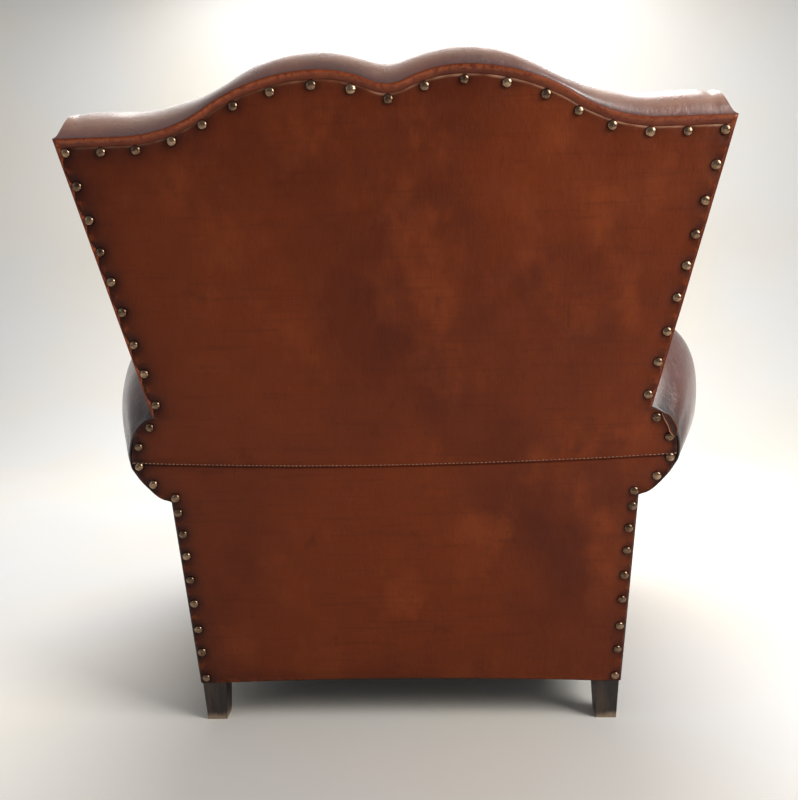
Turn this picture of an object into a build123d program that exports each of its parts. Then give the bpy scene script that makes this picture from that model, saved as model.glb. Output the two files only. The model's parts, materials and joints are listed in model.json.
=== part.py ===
"""Club chair with a moustache back: beech frame, coil springs, stuffing, leather covers, loose cushion.

The origin is on the floor under the middle of the chair. The sitter faces -Y, +Z is up, and the
sitter's left is +X. Sizes are in millimetres.
"""
from build123d import *
import os
from math import atan, cos, pi, radians, sin, sqrt, tan

os.makedirs("parts", exist_ok=True)

# Thicknesses and clearances shared by all pieces
leather = 2.0
cloth = 1.2
gap = 0.3
pad_gap = 0.8
mortise_clearance = 0.25
overrun = 30.0
short_overrun = 3.0

# The leaning outside back: half widths, and heights measured up along its slope
overall_depth = 880.0
lean_angle = 10.0
panel_bottom = 63.0
panel_bow = 7.0
base_half = 300.0
under_arm_half = 311.0
under_arm_height = 346.0
waist_half = 320.0
waist_height = 462.0
corner_half = 400.0
corner_height = 814.0
seam_height = 404.0
seam_sag = 12.0

# The moustache crest: a dip between two humps that run out to level shoulders
hump_half = 84.0
hump_rise = 65.0
dip_half = 22.0
dip_rise = 5.0
hump_inner_drop = 13.0
hump_outer_drop = 36.0
hump_outer_half = 215.0
shoulder_half = 317.0

# Leather that shows beyond the outside back panel
crest_band = 11.0
side_band = 1.5

# Nails: head, and how far in from the edges their rows lie
nail_radius = 6.0
nail_height = 3.6
nail_top_inset = 17.0
nail_side_inset = 9.5

# Arms: a roll that slopes down to the rear and narrows into an ear behind
arm_front = -425.0
arm_radius = 90.0
arm_rear_radius = 60.0
arm_inner_front = 250.0
arm_inner_rear = 238.0
roll_bottom_front = 403.0
roll_bottom_rear = 339.0
arm_side_front = 345.0
arm_wall_bottom = 222.0

# Inside back: its depth forward of the outside back, and the roll over the crest
roll_rise = 31.0
roll_reach = 50.0
roll_run_share = 0.42
roll_climb_share = 0.72
back_depth_top = 145.0
back_depth_side = 104.0
back_depth_bottom = 200.0
back_shoulder = 36.0
back_bulge = 12.0
back_bottom = 292.0

# Beech frame
frame_thickness = 32.0
lining = 1.0
lining_inset = 9.0
post_width = 34.0
foot_height = 62.0
foot_width = 28.0
front_foot_width = 50.0
front_foot_end = 36.0
rail_thickness = 28.0
rail_bottom = 64.0
rail_height = 96.0
front_rail_height = 156.0
front_post_width = 50.0
board_thickness = 18.0
board_inset = 4.0
arm_rail_width = 44.0
arm_rail_height = 28.0
lower_back_rail = 332.0
lower_back_rail_height = 42.0
crest_rail_bottom = 742.0
tack_rail_height = 30.0
tenon_length = 18.0
tenon_thickness = 12.0
tenon_width = 34.0
low_tenon_share = 0.27
high_tenon_share = 0.73
block_leg = 62.0
block_height = 40.0

# Seat springing and stuffing
spring_end_radius = 48.0
spring_waist_radius = 30.0
spring_wire = 4.0
spring_turns = 5
spring_sides = 8
spring_height = 162.0
spring_pitch_x = 150.0
spring_pitch_y = 155.0
spring_middle_y = -130.0
web_width = 50.0
back_web_pitch = 100.0
back_web_count = 4
back_web_shares = (0.41, 0.63, 0.85)
seat_web_pitch_x = 90.0
seat_web_pitch_y = 110.0
seat_web_count = 5
seat_stuffing = 50.0
deck_rear = 124.0
deck_edge_radius = 22.0
deck_lip = 14.0

# Loose seat cushion
cushion_front_half = 246.0
cushion_rear_half = 236.0
cushion_rear = 118.0
cushion_side = 104.0
cushion_crown = 24.0
cushion_crown_run = 114.4
cushion_draw = 6.0
cushion_corner = 42.0
cushion_foot = 8.0
welt_radius = 4.0
welt_sides = 8

# Places worked out from the sizes above
lean_sin = sin(radians(lean_angle))
lean_cos = cos(radians(lean_angle))
lean_tan = tan(radians(lean_angle))
hump_height = corner_height + hump_rise
dip_height = hump_height - hump_inner_drop - dip_rise
nail_line_top = hump_height - nail_top_inset
nail_reach = nail_line_top * lean_sin + nail_height * lean_cos
heel = overall_depth / 2 - max(hump_height * lean_sin, nail_reach)
frame_depth = leather + lining + 2 * gap
frame_front = frame_depth + frame_thickness
web_depth = frame_front + 2 * cloth
pad_depth = web_depth + cloth + 2 * gap
deck_top = rail_bottom + spring_height + cloth + seat_stuffing + leather + 4 * gap
cushion_bottom = deck_top + gap
cushion_front = -overall_depth / 2
board_front = arm_front
board_back = board_front + board_thickness
facing_front = board_front - leather
front_post_back = board_back + front_post_width
ear_middle = arm_inner_rear + arm_rear_radius
ear_height = (roll_bottom_rear + arm_rear_radius) / lean_cos
ear_reach = ear_middle + 2 * arm_rear_radius


def back_at(depth):
    """Plane of the outside back moved forward by a depth; its Y runs up the slope."""
    base = Plane(origin=(0, heel, 0), x_dir=(1, 0, 0), z_dir=(0, -lean_cos, lean_sin))
    return base.offset(depth)


def front_at(y):
    """Upright plane across the chair at one place from front to rear; its Y runs up."""
    return Plane(origin=(0, y, 0), x_dir=(1, 0, 0), z_dir=(0, -1, 0))


def slope_height(z, depth):
    """Height along the slope of a point at height z on the plane back_at(depth)."""
    return (z - depth * lean_sin) / lean_cos


def arc_radius(half_chord, rise):
    """Radius of the arc that rises by rise over half_chord from its level end."""
    return (half_chord**2 + rise**2) / (2 * rise)


def arc_rise(half_chord, rise, x):
    """Rise of that arc at distance x from its level end."""
    radius = arc_radius(half_chord, rise)
    return radius - sqrt(radius**2 - x**2)


def crest(x):
    """Height along the slope of the rear edge of the crest at distance x from the middle."""
    if x <= dip_half:
        return dip_height + arc_rise(dip_half, dip_rise, x)
    if x <= hump_half:
        return hump_height - arc_rise(hump_half - dip_half, hump_inner_drop, hump_half - x)
    if x <= hump_outer_half:
        return hump_height - arc_rise(hump_outer_half - hump_half, hump_outer_drop, x - hump_half)
    if x <= shoulder_half:
        rise = hump_rise - hump_outer_drop
        return corner_height + arc_rise(shoulder_half - hump_outer_half, rise, shoulder_half - x)
    return corner_height


def side_half(height):
    """Half width of the upper back at a height along the slope."""
    share = (height - waist_height) / (corner_height - waist_height)
    return waist_half + (corner_half - waist_half) * share


def crest_arcs(drop):
    """Arcs of the left half of the crest, lowered by drop, from the shoulder to the middle."""
    knots = (shoulder_half, hump_outer_half, hump_half, dip_half, 0)
    for start, end in zip(knots, knots[1:]):
        middle = (start + end) / 2
        points = [(x, crest(x) - drop) for x in (start, middle, end)]
        ThreePointArc(*points)


def back_outline(edge, drop):
    """Face of the outside back: edge is the inset of its sides, drop that of its crest."""
    with BuildLine() as outline:
        top = corner_height - drop
        lower = (base_half - edge, panel_bottom)
        under = (under_arm_half - edge, under_arm_height)
        ear = (ear_middle + arm_rear_radius - edge, ear_height)
        waist = (waist_half - edge, waist_height)
        corner = (side_half(top) - edge, top)
        TangentArc((0, panel_bottom + panel_bow), lower, tangent=(1, 0))
        Line(lower, under)
        ThreePointArc(under, ear, waist)
        Polyline(waist, corner, (shoulder_half, top))
        crest_arcs(drop)
        Line((0, dip_height - drop), (0, panel_bottom + panel_bow))
    make_face(outline.edges())
    mirror(about=Plane.YZ)


def save(part, name):
    """Label one finished piece and write its STEP file."""
    part.label = name
    export_step(part, f"parts/{name}.step")


def save_pair(part, name):
    """Write a left piece and its mirror image on the right."""
    save(part, f"{name}_left")
    with BuildPart() as other:
        mirror(part, about=Plane.YZ)
    save(other.part, f"{name}_right")


def corners(x_low, x_high, low, high):
    """Four corners of an upright rectangle, from its sides and its lower and upper edge."""
    return [(x_low, low), (x_high, low), (x_high, high), (x_low, high)]


def beam(y_front, front, depth_rear, rear, mode=Mode.ADD):
    """Straight piece from an upright plane at the front to the leaning back frame."""
    rear = [(x, slope_height(z, depth_rear)) for x, z in rear]
    sections = []
    for plane, points in ((front_at(y_front), front), (back_at(depth_rear), rear)):
        with BuildSketch(plane) as section:
            Polygon(*points, align=None)
        sections.append(section.sketch)
    loft(sections, ruled=True, mode=mode)


def tenon(plane, width, thickness):
    """Stub tenon that stands on the plane along its normal."""
    with Locations(plane):
        Box(width, thickness, tenon_length, align=(Align.CENTER, Align.CENTER, Align.MIN))


def mortise(plane, width, thickness):
    """Hole for the stub tenon of that plane, with its clearance."""
    room = 2 * mortise_clearance
    with Locations(plane):
        Box(
            width + room,
            thickness + room,
            tenon_length + mortise_clearance,
            align=(Align.CENTER, Align.CENTER, Align.MIN),
            mode=Mode.SUBTRACT,
        )


def mirrored(plane):
    """The same joint on the other side of the chair."""
    return Plane(
        origin=(-plane.origin.X, plane.origin.Y, plane.origin.Z),
        x_dir=(-plane.x_dir.X, plane.x_dir.Y, plane.x_dir.Z),
        z_dir=(-plane.z_dir.X, plane.z_dir.Y, plane.z_dir.Z),
    )


# Rear posts: the foot, the lower length and the upper length that splays to the crest rail
post_inner = base_half - leather - gap - post_width
post_side = leather + gap
frame_middle = frame_depth + frame_thickness / 2
crest_side = side_half(crest_rail_bottom) - post_side
crest_tenon_x = crest_side - post_width / 2
foot_rear = heel - frame_depth / lean_cos
foot_front = foot_rear - frame_thickness / lean_cos

rear_rail_joint = Plane(
    origin=back_at(frame_middle).from_local_coords(
        (post_inner, rail_bottom + rail_height * low_tenon_share, 0)
    ),
    x_dir=(0, lean_sin, lean_cos),
    z_dir=(1, 0, 0),
)
lower_back_joint = Plane(
    origin=back_at(frame_middle).from_local_coords(
        (post_inner, lower_back_rail + lower_back_rail_height / 2, 0)
    ),
    x_dir=(0, lean_sin, lean_cos),
    z_dir=(1, 0, 0),
)
crest_joint = Plane(
    origin=back_at(frame_middle).from_local_coords((crest_tenon_x, crest_rail_bottom, 0)),
    x_dir=(1, 0, 0),
    z_dir=(0, lean_sin, lean_cos),
)
outside_rear = heel + panel_bottom * lean_sin


def side_frame(y):
    """Outer face of the seat frame, just inside the outside arm panel."""
    share = (y - board_front) / (outside_rear - board_front)
    return arm_side_front + (base_half - arm_side_front) * share - leather - 2 * gap


# Joint of a side rail in the rear post and in the front post
side_rail_middle = rail_bottom + rail_height * high_tenon_share
side_rail_rear_y = heel + side_rail_middle * lean_tan - frame_front / lean_cos
rear_side_joint = Plane(
    origin=(side_frame(side_rail_rear_y) - rail_thickness / 2, side_rail_rear_y, side_rail_middle),
    x_dir=(0, 0, 1),
    z_dir=(0, 1, 0),
)
front_side_joint = Plane(
    origin=(side_frame(front_post_back) - rail_thickness / 2, front_post_back, side_rail_middle),
    x_dir=(0, 0, 1),
    z_dir=(0, -1, 0),
)
front_rail_joint = Plane(
    origin=(
        side_frame(front_post_back) - front_post_width,
        board_back + rail_thickness / 2,
        rail_bottom + rail_height * low_tenon_share,
    ),
    x_dir=(0, 0, 1),
    z_dir=(1, 0, 0),
)

with BuildPart() as rear_post:
    with BuildSketch(back_at(frame_depth)):
        Polygon(
            (post_inner, 0),
            (base_half - post_side, 0),
            (base_half - post_side, panel_bottom),
            (under_arm_half - post_side, under_arm_height),
            (waist_half - post_side, waist_height),
            (crest_side, crest_rail_bottom),
            (crest_side - post_width, crest_rail_bottom),
            (post_inner, waist_height),
            align=None,
        )
    extrude(amount=frame_thickness)
    split(bisect_by=Plane.XY.offset(foot_height), keep=Keep.TOP)
    for height, width, side in ((foot_height, post_width, 0), (0, foot_width, overrun)):
        outer = base_half - post_side - (post_width - width) / 4
        rear = foot_rear + height * lean_tan
        depth = frame_thickness / lean_cos if height else foot_width
        with BuildSketch(Plane.XY.offset(height)):
            Polygon(
                (outer - width, rear - depth),
                (outer, rear - depth),
                (outer, rear),
                (outer - width, rear),
                align=None,
            )
    loft(ruled=True)
    tenon(crest_joint, post_width / 2, tenon_thickness)
    mortise(rear_rail_joint, tenon_width, tenon_thickness)
    mortise(lower_back_joint, tenon_width / 2, tenon_thickness)
    mortise(rear_side_joint, tenon_width, tenon_thickness)
save_pair(rear_post.part, "rear_post")

# Ear blocks: they fill the rear end of each arm roll outside the post
with BuildPart() as ear_block:
    with BuildSketch(back_at(frame_depth)):
        with Locations((ear_middle, ear_height)):
            Circle(arm_rear_radius - leather - 2 * gap)
        Polygon(
            (under_arm_half - post_side, under_arm_height),
            (waist_half - post_side, waist_height),
            (side_half(waist_height + arm_rear_radius) - post_side, waist_height + arm_rear_radius),
            (ear_reach, waist_height + arm_rear_radius),
            (ear_reach, under_arm_height),
            align=None,
            mode=Mode.INTERSECT,
        )
    extrude(amount=frame_thickness)
save_pair(ear_block.part, "ear_block")

# Crest rail: the shaped board that gives the back its moustache top
rail_drop = leather + gap
with BuildPart() as crest_rail:
    with BuildSketch(back_at(frame_depth)):
        with BuildLine():
            top = corner_height - rail_drop
            Line((0, crest_rail_bottom), (crest_side, crest_rail_bottom))
            Line((crest_side, crest_rail_bottom), (side_half(top) - post_side, top))
            Line((side_half(top) - post_side, top), (shoulder_half, top))
            crest_arcs(rail_drop)
            Line((0, dip_height - rail_drop), (0, crest_rail_bottom))
        make_face()
        mirror(about=Plane.YZ)
    extrude(amount=frame_thickness)
    mortise(crest_joint, post_width / 2, tenon_thickness)
    mortise(mirrored(crest_joint), post_width / 2, tenon_thickness)
save(crest_rail.part, "crest_rail")

# Lower back rail and rear seat rail, tenoned between the rear posts
with BuildPart() as back_lower_rail:
    with BuildSketch(back_at(frame_depth)):
        Polygon(
            *corners(-post_inner, post_inner, lower_back_rail, lower_back_rail + lower_back_rail_height),
            align=None,
        )
    extrude(amount=frame_thickness)
    tenon(lower_back_joint, tenon_width / 2, tenon_thickness)
    tenon(mirrored(lower_back_joint), tenon_width / 2, tenon_thickness)
save(back_lower_rail.part, "back_lower_rail")

with BuildPart() as seat_rail_rear:
    with BuildSketch(back_at(frame_depth)):
        Polygon(
            *corners(-post_inner, post_inner, rail_bottom, rail_bottom + rail_height),
            align=None,
        )
    extrude(amount=frame_thickness)
    tenon(rear_rail_joint, tenon_width, tenon_thickness)
    tenon(mirrored(rear_rail_joint), tenon_width, tenon_thickness)
save(seat_rail_rear.part, "seat_rail_rear")

# Front posts, with a tapered block foot under each
post_top = roll_bottom_front - gap - (roll_bottom_front - roll_bottom_rear) * (
    (front_post_back - arm_front) / (heel - arm_front)
)
front_outer = side_frame(front_post_back)
front_inner = front_outer - front_post_width
with BuildPart() as front_post:
    with BuildSketch(Plane.XY.offset(foot_height)):
        Polygon(*corners(front_inner, front_outer, board_back, front_post_back), align=None)
    extrude(amount=post_top - foot_height)
    mortise(front_rail_joint, tenon_width, tenon_thickness)
    mortise(front_side_joint, tenon_width, tenon_thickness)
save_pair(front_post.part, "front_post")

foot_x = (front_outer + front_inner) / 2
foot_y = (board_back + front_post_back) / 2
with BuildPart() as front_foot:
    for height, width in ((0, front_foot_end), (foot_height, front_foot_width)):
        with BuildSketch(Plane((foot_x, foot_y, height))):
            Rectangle(width, width)
    loft(ruled=True)
save_pair(front_foot.part, "front_foot")

with BuildPart() as seat_rail_front:
    with BuildSketch(front_at(board_back)):
        Polygon(
            *corners(-front_inner, front_inner, rail_bottom, rail_bottom + front_rail_height),
            align=None,
        )
    extrude(amount=-rail_thickness)
    tenon(front_rail_joint, tenon_width, tenon_thickness)
    tenon(mirrored(front_rail_joint), tenon_width, tenon_thickness)
save(seat_rail_front.part, "seat_rail_front")

# Side rails: they run inwards to the rear
rail_rear_x = side_frame(side_rail_rear_y + overrun)
with BuildPart() as seat_rail_side:
    with BuildSketch(Plane.XY.offset(rail_bottom)):
        Polygon(
            (side_frame(front_post_back) - rail_thickness, front_post_back),
            (side_frame(front_post_back), front_post_back),
            (rail_rear_x, side_rail_rear_y + overrun),
            (rail_rear_x - rail_thickness, side_rail_rear_y + overrun),
            align=None,
        )
    extrude(amount=rail_height)
    split(bisect_by=back_at(frame_front), keep=Keep.TOP)
    tenon(front_side_joint, tenon_width, tenon_thickness)
    tenon(rear_side_joint, tenon_width, tenon_thickness)
save_pair(seat_rail_side.part, "seat_rail_side")

# Corner blocks, glued across the inside of the seat frame


def block_face(y):
    """Inner face of the side rail."""
    return side_frame(y) - rail_thickness


with BuildPart() as corner_blocks:
    with BuildSketch(Plane.XY.offset(rail_bottom)):
        Polygon(
            (block_face(side_rail_rear_y) - block_leg, side_rail_rear_y + overrun),
            (block_face(side_rail_rear_y) - block_leg, side_rail_rear_y),
            (block_face(side_rail_rear_y - block_leg), side_rail_rear_y - block_leg),
            (block_face(side_rail_rear_y + overrun), side_rail_rear_y + overrun),
            align=None,
        )
    extrude(amount=block_height)
    split(bisect_by=back_at(frame_front), keep=Keep.TOP)
    with BuildSketch(Plane.XY.offset(rail_bottom)):
        Polygon(
            (front_inner, board_back + rail_thickness),
            (front_inner, front_post_back),
            (front_inner - block_leg, board_back + rail_thickness),
            align=None,
        )
    extrude(amount=block_height)
    mirror(about=Plane.YZ)
save(corner_blocks.part, "corner_blocks")


# Arms. Shares run from the front of the arm to the outside back.
arm_rear = heel + ear_height * lean_sin
arm_station_shares = ((0, 1), (0.3, 1), (0.58, 0.985), (0.79, 0.955))


def arm_line(front, rear, share):
    """Size of the arm at a share of its length, where it runs straight."""
    return front + (rear - front) * share


def arm_sizes(share, radius):
    """Inner face, roll radius, roll bottom and lower edge of the roll at one station."""
    inner = arm_line(arm_inner_front, arm_inner_rear, share)
    bottom = arm_line(roll_bottom_front, roll_bottom_rear, share)
    edge = arm_line(arm_side_front - leather, under_arm_half - leather, share)
    return inner, radius, bottom, edge


def arm_share(y):
    """Share of the arm's length at one place."""
    return (y - arm_front) / (arm_rear - arm_front)


def arm_stations(rear_depth):
    """Planes and sizes of the sections of an arm, with the depth of the leaning one."""
    for share, radius_share in arm_station_shares:
        y = arm_line(arm_front, arm_rear, share)
        yield front_at(y), arm_sizes(share, arm_radius * radius_share), None
    yield back_at(rear_depth), arm_sizes(1, arm_rear_radius), rear_depth


def roll_arcs(inner, radius, middle, edge, skin):
    """Three arcs of the roll from its inner side over the top to its lower edge."""
    size = radius - skin
    x = inner + radius
    diagonal = size * sin(pi / 4)
    low = middle - sqrt(size**2 - (edge - x) ** 2)
    inside, top, outside = (x - size, middle), (x, middle + size), (x + size, middle)
    bottom = (edge, low)
    turn = (pi + atan((edge - x) / (middle - low))) / 4
    under = (x + size * cos(turn), middle - size * sin(turn))
    ThreePointArc(inside, (x - diagonal, middle + diagonal), top)
    ThreePointArc(top, (x + diagonal, middle + diagonal), outside)
    ThreePointArc(outside, under, bottom)
    return inside, bottom


def arm_section(sizes, depth, kind, skin):
    """Closed section of an arm: the pad, the cover ribbon or the whole block."""
    inner, radius, bottom, edge = sizes
    height = (lambda z: z) if depth is None else (lambda z: slope_height(z, depth))
    middle = height(bottom + radius)
    wall = height(arm_wall_bottom)
    with BuildLine() as outline:
        inside, low = roll_arcs(inner, radius, middle, edge, skin)
        if kind == "cover":
            deep, deep_low = roll_arcs(inner, radius, middle, edge, skin + leather)
            Line(low, deep_low)
            Polyline(deep, (deep[0], wall), (inside[0], wall), inside)
        if kind == "pad":
            rail_in = edge - gap - arm_rail_width - gap
            rail_top = height(bottom + arm_rail_height + gap)
            Polyline(
                low,
                (edge, rail_top),
                (rail_in, rail_top),
                (rail_in, wall),
                (inside[0], wall),
                inside,
            )
        if kind == "block":
            floor_height = height(back_bottom - overrun)
            Polyline(low, (edge, floor_height), (inside[0], floor_height), inside)
    make_face(outline.edges())


def arm_loft(kind, skin, rear_depth=leather + gap, mode=Mode.ADD):
    """Loft of the arm from its front to the outside back."""
    sections = []
    for plane, sizes, depth in arm_stations(rear_depth):
        with BuildSketch(plane) as section:
            arm_section(sizes, depth, kind, skin)
        sections.append(section.sketch)
    loft(sections, mode=mode)


def arm_rail_beam(room, mode=Mode.ADD):
    """The arm rail, or the room that it needs in the stuffing and the cover."""
    sections = []
    rear_share = arm_share(arm_rear - frame_front / lean_cos)
    for share in (arm_share(board_back), rear_share):
        inner, radius, bottom, edge = arm_sizes(share, arm_radius)
        outer = edge - gap + room
        rail_inner = edge - gap - arm_rail_width - room
        sections.append(corners(rail_inner, outer, bottom - room, bottom + arm_rail_height + room))
    beam(board_back, sections[0], frame_front, sections[1], mode)


with BuildPart() as arm_rail:
    arm_rail_beam(0)
save_pair(arm_rail.part, "arm_rail")

# Inner tack rails, to which the inside leather of the arms is fixed under the deck
tack_top = arm_wall_bottom - gap
tack_bottom = tack_top - tack_rail_height
tack_skin = leather + 3 * gap
with BuildPart() as arm_tack_rail:
    beam(
        front_post_back,
        corners(arm_inner_front + tack_skin, front_inner, tack_bottom, tack_top),
        frame_front,
        corners(arm_inner_rear + tack_skin, post_inner, tack_bottom, tack_top),
    )
save_pair(arm_tack_rail.part, "arm_tack_rail")


def frame_room(front, outer):
    """Cut away the rear of a cover or a pad, where the posts and rails of the back stand."""
    with BuildSketch(back_at(-overrun)) as room:
        Polygon(
            (-overrun, 0),
            (under_arm_half - post_side + outer, 0),
            (under_arm_half - post_side + outer, under_arm_height),
            (waist_half - post_side + outer, waist_height),
            (corner_half + outer, corner_height),
            (-overrun, corner_height),
            align=None,
        )
    extrude(room.sketch, amount=front + overrun, mode=Mode.SUBTRACT)


with BuildPart() as arm_pad:
    arm_loft("pad", leather + pad_gap)
    split(bisect_by=front_at(board_back + gap), keep=Keep.BOTTOM)
    split(bisect_by=back_at(frame_front + gap), keep=Keep.TOP)
    arm_rail_beam(gap, Mode.SUBTRACT)
    with BuildSketch(Plane.XY) as post_room:
        Polygon(
            *corners(front_inner - gap, front_outer + overrun, board_back, front_post_back + gap),
            align=None,
        )
    extrude(post_room.sketch, amount=post_top + gap, mode=Mode.SUBTRACT)
save_pair(arm_pad.part, "arm_pad")

with BuildPart() as arm_cover:
    arm_loft("cover", 0)
    frame_room(frame_front + gap, gap)
    arm_rail_beam(gap, Mode.SUBTRACT)
save_pair(arm_cover.part, "arm_cover")


def arm_face(inset, bottom):
    """Outline of the arm from in front, drawn in by inset and cut off at bottom."""
    inner, radius, low, edge = arm_sizes(0, arm_radius)
    with BuildLine() as outline:
        inside, under = roll_arcs(inner, radius, low + radius, edge + leather - inset, inset)
        Polyline(under, (under[0], bottom), (inside[0], bottom), inside)
    make_face(outline.edges())


# Front boards of the arms, their leather facings, and the outside arm panels
with BuildPart() as arm_board:
    with BuildSketch(front_at(board_front)):
        arm_face(board_inset, rail_bottom)
    extrude(amount=-board_thickness)
save_pair(arm_board.part, "arm_board")

with BuildPart() as arm_facing:
    with BuildSketch(front_at(facing_front)):
        arm_face(0, panel_bottom)
    extrude(amount=-leather)
save_pair(arm_facing.part, "arm_facing")

outside_low = panel_bottom * lean_cos
with BuildPart() as arm_outside:
    low_rear = slope_height(outside_low, leather + gap)
    top_rear = slope_height(roll_bottom_rear, leather + gap) - 3 * gap
    top_front = roll_bottom_front - 3 * gap
    with BuildSketch(front_at(board_front)) as front_edge:
        Polygon(
            *corners(arm_side_front - leather, arm_side_front, outside_low, top_front),
            align=None,
        )
    with BuildSketch(back_at(leather + gap)) as rear_edge:
        Polygon(
            (base_half - leather, low_rear),
            (base_half, low_rear),
            (under_arm_half, top_rear),
            (under_arm_half - leather, top_rear),
            align=None,
        )
    loft([front_edge.sketch, rear_edge.sketch], ruled=True)
save_pair(arm_outside.part, "arm_outside")


# Back: sections across it lie in a fan of planes that follow its splayed sides
splay = (corner_height - waist_height) / (corner_half - waist_half)
fan_low = (waist_height - waist_half * splay) * lean_cos
fan_station_shares = (0, 0.055, 0.13, 0.21, 0.37, 0.54, 0.79, 0.93, 1)


def back_section(x, skin):
    """Section of the upholstered back through the crest at x, drawn in by skin."""
    edge_z = crest(x) * lean_cos
    fan = atan(x / (edge_z - fan_low))
    plane = Plane(origin=(0, 0, fan_low), x_dir=(0, 1, 0), z_dir=(cos(fan), 0, -sin(fan)))
    side = max(x / corner_half - fan_station_shares[-3], 0) / (1 - fan_station_shares[-3])
    deep = back_depth_top + (back_depth_side - back_depth_top) * side**2
    rise = roll_rise - skin
    top_z = edge_z - skin / 2
    low = back_bottom if skin == 0 else back_bottom - overrun

    def place(depth, z):
        return (heel + z * lean_tan - depth, (z - fan_low) / cos(fan))

    rear = skin / lean_cos
    drop = edge_z - back_shoulder
    front_top = (deep - skin, drop)
    reach = roll_reach
    half = (deep - skin - reach) * sin(pi / 4)
    low_depth = back_depth_bottom - skin - (back_depth_top - deep)
    middle_depth = (deep + low_depth - skin) / 2 + back_bulge
    with BuildLine() as outline:
        Line(place(rear, low), place(rear, top_z))
        ThreePointArc(
            place(rear, top_z),
            place(reach * roll_run_share, edge_z + roll_rise * roll_climb_share - skin),
            place(reach, edge_z + rise),
        )
        ThreePointArc(
            place(reach, edge_z + rise),
            place(reach + half, drop + (rise + back_shoulder) * sin(pi / 4)),
            place(*front_top),
        )
        ThreePointArc(
            place(*front_top),
            place(middle_depth, (drop + low) / 2),
            place(low_depth, low),
        )
        Line(place(low_depth, low), place(rear, low))
    with BuildSketch(plane) as section:
        make_face(outline.edges())
    return section.sketch


def back_block(skin, mode=Mode.ADD):
    """Half of the upholstered back from the middle to the side, with its mirror image."""
    width = corner_half - skin
    sections = [back_section(share * width, skin) for share in fan_station_shares]
    with BuildPart() as half:
        loft(sections)
        mirror(about=Plane.YZ)
    add(half.part, mode=mode)


def arm_room(grow):
    """Room in the back pieces for both arms."""
    with BuildPart() as arms:
        arm_loft("block", -grow, -short_overrun)
        mirror(about=Plane.YZ)
    add(arms.part, mode=Mode.SUBTRACT)


with BuildPart() as back_cover:
    back_block(0)
    back_block(leather, Mode.SUBTRACT)
    arm_room(gap)
    with BuildSketch(back_at(-overrun)) as panel_room:
        back_outline(side_band - gap, crest_band - gap)
    extrude(panel_room.sketch, amount=overrun + frame_depth, mode=Mode.SUBTRACT)
save(back_cover.part, "back_cover")

# Stuffing of the back, over its frame and webbing
with BuildPart() as back_pad:
    back_block(leather + pad_gap)
    arm_room(leather)
    with BuildSketch(back_at(-overrun)) as frame_outline:
        with BuildLine() as outline:
            wide = corner_half + overrun
            high = corner_height - leather
            Polyline((0, 0), (wide, 0), (wide, high), (shoulder_half, high))
            crest_arcs(leather)
            Line((0, dip_height - leather), (0, 0))
        make_face(outline.edges())
        mirror(about=Plane.YZ)
    extrude(frame_outline.sketch, amount=overrun + pad_depth, mode=Mode.SUBTRACT)
    split(bisect_by=Plane.XY.offset(back_bottom), keep=Keep.TOP)
save(back_pad.part, "back_pad")

# Outside back: an upper and a lower piece of leather that meet at a sagging seam
for name, bottom, top in (("upper", seam_height, hump_height), ("lower", 0, seam_height - gap)):
    with BuildPart() as outside_back:
        with BuildSketch(back_at(0)):
            back_outline(side_band, crest_band)
            wide = corner_half
            with BuildLine() as region:
                if name == "upper":
                    ThreePointArc((-wide, bottom), (0, bottom - seam_sag), (wide, bottom))
                    Polyline((wide, bottom), (wide, top), (-wide, top), (-wide, bottom))
                else:
                    ThreePointArc((-wide, top), (0, top - seam_sag), (wide, top))
                    Polyline((wide, top), (wide, bottom), (-wide, bottom), (-wide, top))
            make_face(region.edges(), mode=Mode.INTERSECT)
        extrude(amount=leather)
    save(outside_back.part, f"back_outside_{name}")

with BuildPart() as back_lining:
    with BuildSketch(back_at(leather + gap)):
        back_outline(lining_inset, crest_band)
    extrude(amount=lining)
save(back_lining.part, "back_lining")

# Webbing and hessian of the back
web_tops = crest_rail_bottom + web_width / 2
web_low = lower_back_rail + lower_back_rail_height / 4
with BuildPart() as back_webbing:
    with BuildSketch(back_at(frame_front)):
        with Locations((0, (web_low + web_tops) / 2)):
            with GridLocations(back_web_pitch, 0, back_web_count, 1):
                Rectangle(web_width, web_tops - web_low)
    extrude(amount=cloth)
    with BuildSketch(back_at(frame_front + cloth)):
        for share in back_web_shares:
            height = web_low + (web_tops - web_low) * share
            with Locations((0, height)):
                Rectangle(2 * (side_half(height) - post_width), web_width)
    extrude(amount=cloth)
save(back_webbing.part, "back_webbing")

with BuildPart() as back_hessian:
    with BuildSketch(back_at(web_depth + gap)):
        hessian_half = arm_inner_rear - pad_gap
        hessian_neck = waist_height + arm_rear_radius / 3
        Polygon(
            (-hessian_half, web_low),
            (hessian_half, web_low),
            (hessian_half, hessian_neck),
            (side_half(hessian_neck) - post_width, hessian_neck),
            (side_half(web_tops) - post_width, web_tops),
            (-side_half(web_tops) + post_width, web_tops),
            (-side_half(hessian_neck) + post_width, hessian_neck),
            (-hessian_half, hessian_neck),
            align=None,
        )
    extrude(amount=cloth)
save(back_hessian.part, "back_hessian")

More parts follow.
